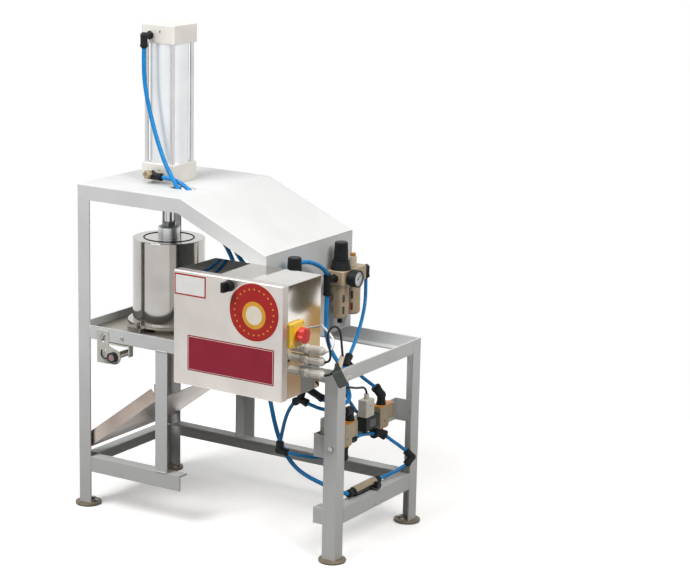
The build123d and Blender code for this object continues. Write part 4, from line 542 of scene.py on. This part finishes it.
def layTube(name, facts):
    ends = [Vector(p) for p in facts["points"]]
    ends[0] += (ends[0] - ends[1]).normalized() * tubeMaking["seatDepth"]
    ends[-1] += (ends[-1] - ends[-2]).normalized() * tubeMaking["seatDepth"]
    curve = bpy.data.curves.new(name, "CURVE")
    curve.dimensions = "3D"
    line = curve.splines.new("NURBS")
    line.points.add(len(ends) - 1)
    for point, place in zip(line.points, ends):
        point.co = (*(place * mm), 1.0)
    line.order_u = 3
    line.use_endpoint_u = True
    line.resolution_u = tubeMaking["lengthSteps"]
    curve.bevel_depth = facts["radius"] * mm
    curve.bevel_resolution = tubeMaking["roundSteps"]
    curve.use_fill_caps = True
    curve.materials.append(facts["look"])
    piece = bpy.data.objects.new(name, curve)
    scene.collection.objects.link(piece)
    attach(piece, "frame")
    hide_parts(facts["node"])


def ringAround(name, origin, beyond, radius):
    # the sleeve of a push-in fitting that lets the tube go when it is pressed
    inner = radius + releaseRing["slip"]
    outer = inner + releaseRing["wall"]
    reach, lip, seat = releaseRing["reach"], releaseRing["lip"], releaseRing["seat"]
    profile = [(inner, -seat), (outer, -seat), (outer, reach - lip), (outer - lip, reach), (inner, reach),
               (inner, -seat)]
    place = facing(origin, Vector(beyond) - Vector(origin))
    keep(name, turned(profile, releaseRing["steps"], place), blackNylon)


for name, facts in tubes.items():
    layTube(name, facts)
    if facts["slot"] == "tube_blue":
        ringAround(name + "StartRing", facts["points"][0], facts["points"][1], facts["radius"])
        ringAround(name + "EndRing", facts["points"][-1], facts["points"][-2], facts["radius"])
print("tubes laid:", len(tubes))

# Bare films on the box front with plain borders
films = dict(front=-400.0, thick=0.35, print=0.15, edge=0.1, disc=(288.0, 705.0), discRadius=78.0, discSteps=72,
             rim=2.6, haloDrop=8.0, haloRadius=36.0, ballRadius=25.0, dots=24, dotRing=60.0, dotRadius=2.4,
             dotSteps=20, plateX=(80.0, 351.0), plateZ=(520.0, 615.0), plateLine=3.0, lineWidth=1.2,
             plateCorners=(2.0, 1.5, 1.2), labelX=(37.5, 137.0), labelZ=(719.0, 776.0), labelBorder=4.0,
             labelCorners=(1.0, 0.6))


def filmDisc(name, centre, radius, level, thick, material, steps=films["discSteps"]):
    edge = films["edge"]
    profile = [(0, 0), (radius, 0), (radius, thick - edge), (radius - edge, thick), (0, thick)]
    place = facing((centre[0], films["front"] - level, centre[1]), outward)
    keep(name, turned(profile, steps, place), material)


def filmPlate(name, x, z, inset, level, thick, corner, material):
    place = facing(((x[0] + x[1]) / 2, films["front"] - level, (z[0] + z[1]) / 2), outward)
    size = (x[1] - x[0] - 2 * inset, z[1] - z[0] - 2 * inset)
    keep(name, plate(size, thick, corner, place), material)


thick, ink = films["thick"], films["print"]
discX, discZ = films["disc"]
haloCentre = (discX, discZ - films["haloDrop"])
filmDisc("roundSignRim", films["disc"], films["discRadius"], 0.0, thick, creamVinyl)
filmDisc("roundSign", films["disc"], films["discRadius"] - films["rim"], thick, ink, redVinyl)
filmDisc("roundSignHalo", haloCentre, films["haloRadius"], thick + ink, ink, amberVinyl)
filmDisc("roundSignBall", haloCentre, films["ballRadius"], thick + 2 * ink, ink, creamVinyl)
for k in range(films["dots"]):
    turn = 2 * math.pi * k / films["dots"]
    spot = (discX + films["dotRing"] * math.cos(turn), discZ + films["dotRing"] * math.sin(turn))
    filmDisc(f"roundSignDot{k:02d}", spot, films["dotRadius"], thick + ink, ink, amberVinyl, films["dotSteps"])
plateX, plateZ, inset = films["plateX"], films["plateZ"], films["plateLine"]
edgeCorner, lineCorner, fieldCorner = films["plateCorners"]
filmPlate("namePlateEdge", plateX, plateZ, 0.0, 0.0, thick, edgeCorner, maroonVinyl)
filmPlate("namePlateLine", plateX, plateZ, inset, thick, ink, lineCorner, creamVinyl)
filmPlate("namePlate", plateX, plateZ, inset + films["lineWidth"], thick + ink, ink, fieldCorner, maroonVinyl)
labelX, labelZ, inset = films["labelX"], films["labelZ"], films["labelBorder"]
borderCorner, faceCorner = films["labelCorners"]
filmPlate("labelBorder", labelX, labelZ, 0.0, 0.0, thick, borderCorner, redVinyl)
filmPlate("labelFace", labelX, labelZ, inset, thick, ink, faceCorner, whiteVinyl)
print("films on the box")

# Gauge: dial, ticks and lens, with the needle between
gauge = dict(centre=(97.0, 702.0), face=293.0, gap=0.05, dialRadius=20.6, dialThick=0.3, steps=48, lens=296.6,
             lensThick=0.8, ticks=19, longEvery=3, start=-225.0, end=45.0, tickOuter=18.6, tickThick=0.12,
             longInner=14.0, longHalf=0.55, shortInner=16.2, shortHalf=0.3)


def gaugeDisc(name, near, thick, material):
    radius = gauge["dialRadius"]
    profile = [(0, 0), (radius, 0), (radius, thick), (0, thick)]
    place = facing((near, *gauge["centre"]), rightward)
    keep(name, turned(profile, gauge["steps"], place), material)


def dialTicks(form):
    face = facing((gauge["face"] + gauge["gap"] + gauge["dialThick"], *gauge["centre"]), rightward)
    for k in range(gauge["ticks"]):
        turn = math.radians(gauge["start"] + (gauge["end"] - gauge["start"]) * k / (gauge["ticks"] - 1))
        kind = "short" if k % gauge["longEvery"] else "long"
        out = Vector((-math.cos(turn), math.sin(turn), 0))
        side = Vector((-out.y, out.x, 0)) * gauge[kind + "Half"]
        near, far = out * gauge[kind + "Inner"], out * gauge["tickOuter"]
        corners = [near - side, near + side, far + side, far - side]
        low = [form.verts.new(face @ c) for c in corners]
        high = [form.verts.new(face @ (c + Vector((0, 0, gauge["tickThick"])))) for c in corners]
        form.faces.new(low)
        form.faces.new(high)
        for a in range(4):
            b = (a + 1) % 4
            form.faces.new([low[a], low[b], high[b], high[a]])


gaugeDisc("gaugeDial", gauge["face"] + gauge["gap"], gauge["dialThick"], dialEnamel)
keep("gaugeTicks", dialTicks, dialInk)
gaugeDisc("gaugeLens", gauge["lens"], gauge["lensThick"], gaugeGlass)
print("gauge dressed")

# Sights behind the windows of the two bowls, the lower ones of the oil bowl red
sights = dict(x=238.0, low=585.0, bowlRadius=23.5, pocket=2.2, size=(6.2, 22.2), thick=1.2, corner=3.0,
              heights=(25.0, 58.0))
bowls = {
    "filter": dict(y=97.0, turn=-35.0, lower=smokySight),
    "oil": dict(y=159.0, turn=-60.0, lower=redSight),
}
for bowl, facts in bowls.items():
    for quarter in range(4):
        turn = math.radians(facts["turn"] + 90 * quarter)
        out = Vector((math.cos(turn), math.sin(turn), 0))
        for row, height in enumerate(sights["heights"]):
            axis = Vector((sights["x"], facts["y"], sights["low"] + height))
            place = facing(axis + out * (sights["bowlRadius"] - sights["pocket"]), out)
            sight = plate(sights["size"], sights["thick"], sights["corner"], place)
            keep(f"{bowl}Sight{quarter}{row}", sight, smokySight if row else facts["lower"])
print("sights set")

# Screws: a low round head with a socket in it, drawn in shares of its radius and height
screwShape = dict(socket=0.48, floor=0.4, crown=0.78, shoulder=0.55, sunkMm=0.2, steps=24)


def screwHead(radius, tall, place):
    socket, floorAt, sunk = screwShape["socket"] * radius, screwShape["floor"] * tall, screwShape["sunkMm"]
    profile = [(0, floorAt), (socket, floorAt), (socket, tall), (screwShape["crown"] * radius, tall),
               (radius, screwShape["shoulder"] * tall), (radius, -sunk), (0, -sunk)]
    return turned(profile, screwShape["steps"], place)


stopPlate = dict(face=382.0, y=-338, z=649, reach=(-26, 26))
screws = {
    "stopPlateScrew": dict(radius=2.6, tall=1.0, out=rightward, look=dullBrass, places=[
        (stopPlate["face"], stopPlate["y"] + a, stopPlate["z"] + b)
        for a in stopPlate["reach"] for b in stopPlate["reach"]]),
    "connectorScrew": dict(radius=3.2, tall=1.6, out=rightward, look=zincPlate, places=[
        (390.0, 20.5, 376.0), (390.0, -171.5, 370.0)]),
    "bracketScrew": dict(radius=4.0, tall=2.2, out=outward, look=zincPlate, places=[
        (-336.0, -219.0, 512.0), (-276.0, -219.0, 512.0)]),
}
for name, facts in screws.items():
    for k, spot in enumerate(facts["places"]):
        head = screwHead(facts["radius"], facts["tall"], facing(spot, facts["out"]))
        keep(f"{name}{k}", head, facts["look"])
print("screws set")

# Weld beads where the rails and posts meet the legs: rippled runs left under the paint
bead = dict(radius=1.7, ripple=0.35, pitch=3.0, steps=10)
seams = dict(right=430.0, front=-216.0, flange=40.0, rail=(496.0, 530.0), low=(105.0, 145.0), post=(-160.0, -124.0),
             postLow=147.0, postHigh=494.0)


def weldRun(start, end):
    run = Vector(end) - Vector(start)
    count = int(run.length / bead["pitch"]) * 2  # a crest and a dip in each ripple
    profile = [(0, 0)]
    for k in range(1, count):
        profile.append((bead["radius"] + bead["ripple"] * (k % 2), run.length * k / count))
    return turned(profile + [(0, run.length)], bead["steps"], facing(start, run))


welds = []
for low, high in (seams["rail"], seams["low"]):
    for sideX in (-1, 1):
        seamX = sideX * (seams["right"] - seams["flange"])
        for sideY in (-1, 1):
            seamY = sideY * (-seams["front"] - seams["flange"])
            welds.append(((seamX, -sideY * seams["front"], low), (seamX, -sideY * seams["front"], high)))
            welds.append(((sideX * seams["right"], seamY, low), (sideX * seams["right"], seamY, high)))
for level in (seams["postLow"], seams["postHigh"]):
    welds.append(((seams["post"][0], seams["front"], level), (seams["post"][1], seams["front"], level)))
for k, (start, end) in enumerate(welds):
    keep(f"weldBead{k:02d}", weldRun(start, end), powderGrey)
print("welds laid:", len(welds))

# Small parts: wiper lip on the plunger, brass head of the lower ram port, lens of the sensor
wiper = dict(middle=(-268.0, -10.0, 765.0), inner=68.6, outer=72.4, tall=1.9, shoulder=0.9, lip=1.2, sunk=0.2, steps=96)
inner, outer, sunk = wiper["inner"], wiper["outer"], wiper["sunk"]
wiperProfile = [(inner, -sunk), (outer, -sunk), (outer, wiper["shoulder"]), (outer - wiper["lip"], wiper["tall"]),
                (inner, wiper["shoulder"]), (inner, -sunk)]
keep("wiperLip", turned(wiperProfile, wiper["steps"], facing(wiper["middle"], upward)), blackRubber,
     "ram")
portHead = dict(seat=(-275.0, -94.0, 956.0), radius=12.5, tall=15.0, edge=1.4, stud=6.0, hollow=2.0, sides=6)
radius, tall, edge, stud = (portHead[key] for key in ("radius", "tall", "edge", "stud"))
headProfile = [(0, 0), (radius, 0), (radius, tall - edge), (radius - edge, tall), (stud, tall),
               (stud, tall - portHead["hollow"]), (0, tall - portHead["hollow"])]
keep("portHead", turned(headProfile, portHead["sides"], facing(portHead["seat"], outward)), dullBrass)
sensorLens = dict(seat=(-303.0, -232.0, 454.0), radius=9.4, crown=1.0, bulge=((0.5, 0.8), (0.85, 0.4)), rim=0.1,
                  sunk=0.3, steps=40)
radius, crown, sunk = sensorLens["radius"], sensorLens["crown"], sensorLens["sunk"]
lensProfile = [(0, crown)] + [(across * radius, up * crown) for across, up in sensorLens["bulge"]]
lensProfile += [(radius, sensorLens["rim"]), (radius, -sunk), (0, -sunk)]
keep("sensorLens", turned(lensProfile, sensorLens["steps"], facing(sensorLens["seat"], outward)), rosyLens)

# Valves: amber plates on their ends, a dark window on each coil
valveFacts = dict(x=376.0, width=33.4, thick=1.4, corner=2.0, coilFace=391.0, window=(32.0, 20.0), windowThick=0.5,
                  windowCorner=2.5)
valvePlates = {
    "rearValveTop": dict(middle=(106.0, 358.0), long=70.0, out=upward),
    "frontValveTop": dict(middle=(-86.0, 352.0), long=70.0, out=upward),
    "rearValveBase": dict(middle=(92.0, 297.0), long=42.0, out=downward),
    "frontValveBase": dict(middle=(-100.0, 291.0), long=42.0, out=downward),
}
coilWindows = {"rearCoilWindow": (32.0, 325.0), "frontCoilWindow": (-160.0, 319.0)}
for name, facts in valvePlates.items():
    place = facing((valveFacts["x"], *facts["middle"]), facts["out"])
    size = (valveFacts["width"], facts["long"])
    keep(name, plate(size, valveFacts["thick"], valveFacts["corner"], place), amberAcetal)
for name, middle in coilWindows.items():
    place = facing((valveFacts["coilFace"], *middle), rightward)
    window = plate(valveFacts["window"], valveFacts["windowThick"], valveFacts["windowCorner"], place)
    keep(name, window, smokySight)
print("small parts fitted")

# Floor: white under the object with its shadow, fading into the white behind, darker in what it throws back
floorFacts = dict(half=60.0, drop=0.0005, fadeFrom=0.95, fadeTo=1.9, seen="f6f6f5", thrown="6f6d6a", lift=0.30)
half = floorFacts["half"]
floorMesh = bpy.data.meshes.new("floor")
floorMesh.from_pydata([(-half, -half, 0), (half, -half, 0), (half, half, 0), (-half, half, 0)], [], [(0, 1, 2, 3)])
floor = bpy.data.objects.new("floor", floorMesh)
floor.location.z = -floorFacts["drop"]
scene.collection.objects.link(floor)
floorPaint, tree, surface, place = newMaterial(
    "paleStudioFloor", {"Roughness": 0.9, "Specular IOR Level": 0.1, "Emission Color": (1, 1, 1, 1)})
rays = addNode(tree, "LightPath")
floorTone = addNode(tree, "MixRGB", {}, {"Fac": rays.outputs["Is Diffuse Ray"], "Color1": linear(floorFacts["seen"]),
                                         "Color2": linear(floorFacts["thrown"])}).outputs["Color"]
mirrored = addNode(tree, "Math", {"operation": "MAXIMUM"}, {0: rays.outputs["Is Camera Ray"],
                                                            1: rays.outputs["Is Glossy Ray"]}).outputs[0]
lift = addNode(tree, "Math", {"operation": "MULTIPLY"}, {0: mirrored, 1: floorFacts["lift"]}).outputs[0]
linkLooks(tree, surface, {"Base Color": floorTone, "Emission Strength": lift})
away = addNode(tree, "VectorMath", {"operation": "LENGTH"}, {0: place}).outputs["Value"]
gone = addNode(tree, "MapRange", {"interpolation_type": "SMOOTHSTEP"},
               {"Value": away, "From Min": floorFacts["fadeFrom"], "From Max": floorFacts["fadeTo"]}).outputs["Result"]
clear = addNode(tree, "BsdfTransparent").outputs["BSDF"]
faded = addNode(tree, "MixShader", {}, {0: gone, 1: surface.outputs["BSDF"], 2: clear}).outputs["Shader"]
tree.links.new(faded, tree.nodes["Material Output"].inputs["Surface"])
floorMesh.materials.append(floorPaint)

# Glowing cards that only polished metal sees, as painted reflections: a bright card, warm brown and beige cards, gold,
# grey and dark patches traced for the box's side, and a large dim card that darkens what the metal mirrors
cards = {
    "brightReflectionCard": dict(far=1.410, tone="fffdfa", glow=1.4, outline=[
        (1.24, 0.03), (1.66, 0.03), (1.66, 0.50), (1.24, 0.50)]),
    "brownReflectionCard": dict(far=1.408, tone="b09372", glow=1.0, outline=[
        (1.24, -0.14), (1.62, -0.14), (1.62, 0.045), (1.24, 0.085)]),
    "beigeReflectionPatch": dict(far=1.406, tone="e2c698", glow=1.0, outline=[
        (1.557, 0.035), (1.558, 0.112), (1.474, 0.144), (1.461, 0.126), (1.408, 0.138), (1.30, 0.138), (1.30, 0.065)]),
    "goldReflectionPatch": dict(far=1.404, tone="c69c58", glow=1.0, outline=[
        (1.424, 0.262), (1.411, 0.234), (1.400, 0.230), (1.350, 0.230), (1.350, 0.135), (1.392, 0.135),
        (1.446, 0.125), (1.460, 0.141), (1.459, 0.175), (1.448, 0.206), (1.431, 0.236)]),
    "greyReflectionPatch": dict(far=1.402, tone="5c5242", glow=1.0, outline=[
        (1.525, 0.310), (1.492, 0.360), (1.340, 0.400), (1.340, 0.320), (1.381, 0.316), (1.400, 0.296),
        (1.413, 0.262), (1.425, 0.236), (1.452, 0.206), (1.488, 0.186), (1.514, 0.194), (1.524, 0.218),
        (1.517, 0.255), (1.506, 0.284)]),
    "darkReflectionCorner": dict(far=1.400, tone="564e48", glow=1.0, outline=[
        (1.575, 0.300), (1.560, 0.330), (1.492, 0.330), (1.492, 0.307), (1.509, 0.278), (1.530, 0.260),
        (1.575, 0.252)]),
    "darkReflectionCard": dict(tone="7d756b", glow=1.0, corners=[
        (2.95, 0.48, -1.6), (1.55, 2.60, -1.6), (1.55, 2.60, 0.12), (2.95, 0.48, 0.12)]),
}
for name, facts in cards.items():
    cardMesh = bpy.data.meshes.new(name)
    corners = facts.get("corners") or [(x, facts["far"], z) for x, z in facts["outline"]]
    cardMesh.from_pydata(corners, [], [tuple(range(len(corners)))])
    # each card glows in its own tone as a painted reflection, though it is no lamp
    cardPaint = newMaterial(name, {"Base Color": (0, 0, 0, 1), "Specular IOR Level": 0.0,
                                   "Emission Color": linear(facts["tone"]), "Emission Strength": facts["glow"]})[0]
    cardMesh.materials.append(cardPaint)
    card = bpy.data.objects.new(name, cardMesh)
    card.visible_camera = card.visible_diffuse = card.visible_shadow = card.visible_transmission = False
    scene.collection.objects.link(card)

# World: white behind the object and where it is mirrored at first sight, a lower even fill for the rest
worldFacts = dict(fill=0.17, seen=1.0, firstDepth=0.5)
world = bpy.data.worlds.new("studio")
scene.world = world
world.use_nodes = True
sky = world.node_tree
rays = addNode(sky, "LightPath").outputs
firstSight = addNode(sky, "Math", {"operation": "LESS_THAN"},
                     {0: rays["Diffuse Depth"], 1: worldFacts["firstDepth"]}).outputs[0]
glossy = addNode(sky, "Math", {"operation": "MULTIPLY"}, {0: rays["Is Glossy Ray"], 1: firstSight}).outputs[0]
mirrored = addNode(sky, "Math", {"operation": "MAXIMUM"}, {0: rays["Is Camera Ray"], 1: glossy}).outputs[0]
either = addNode(sky, "Math", {"operation": "MAXIMUM"}, {0: mirrored, 1: rays["Is Transmission Ray"]}).outputs[0]
level = addNode(sky, "MapRange", {}, {"Value": either, "To Min": worldFacts["fill"], "To Max": worldFacts["seen"]})
backdrop = sky.nodes["Background"]
backdrop.inputs["Color"].default_value = (1, 1, 1, 1)
sky.links.new(level.outputs["Result"], backdrop.inputs["Strength"])

# Lamps: a wide soft one overhead, the strongest from high in front at the left, a warmer one from the right
lamps = {
    "overhead": dict(place=(0.0, -0.2, 4.3), size=4.6, watts=56.0, tone="ffffff"),
    "frontHigh": dict(place=(-0.9, -3.0, 4.1), size=2.4, watts=182.0, tone="fffefd"),
    "right": dict(place=(3.2, -0.9, 3.7), size=2.0, watts=118.0, tone="fffcf8"),
}
lampAim = Vector((0, 0, 0.6))
for name, facts in lamps.items():
    light = bpy.data.lights.new(name, "AREA")
    light.size = facts["size"]
    light.energy = facts["watts"]
    light.color = linear(facts["tone"])[:3]
    lamp = bpy.data.objects.new(name, light)
    lamp.location = facts["place"]
    lamp.rotation_euler = (lampAim - Vector(facts["place"])).to_track_quat("-Z", "Y").to_euler()
    lamp.visible_camera = False
    scene.collection.objects.link(lamp)
print("floor and light set")
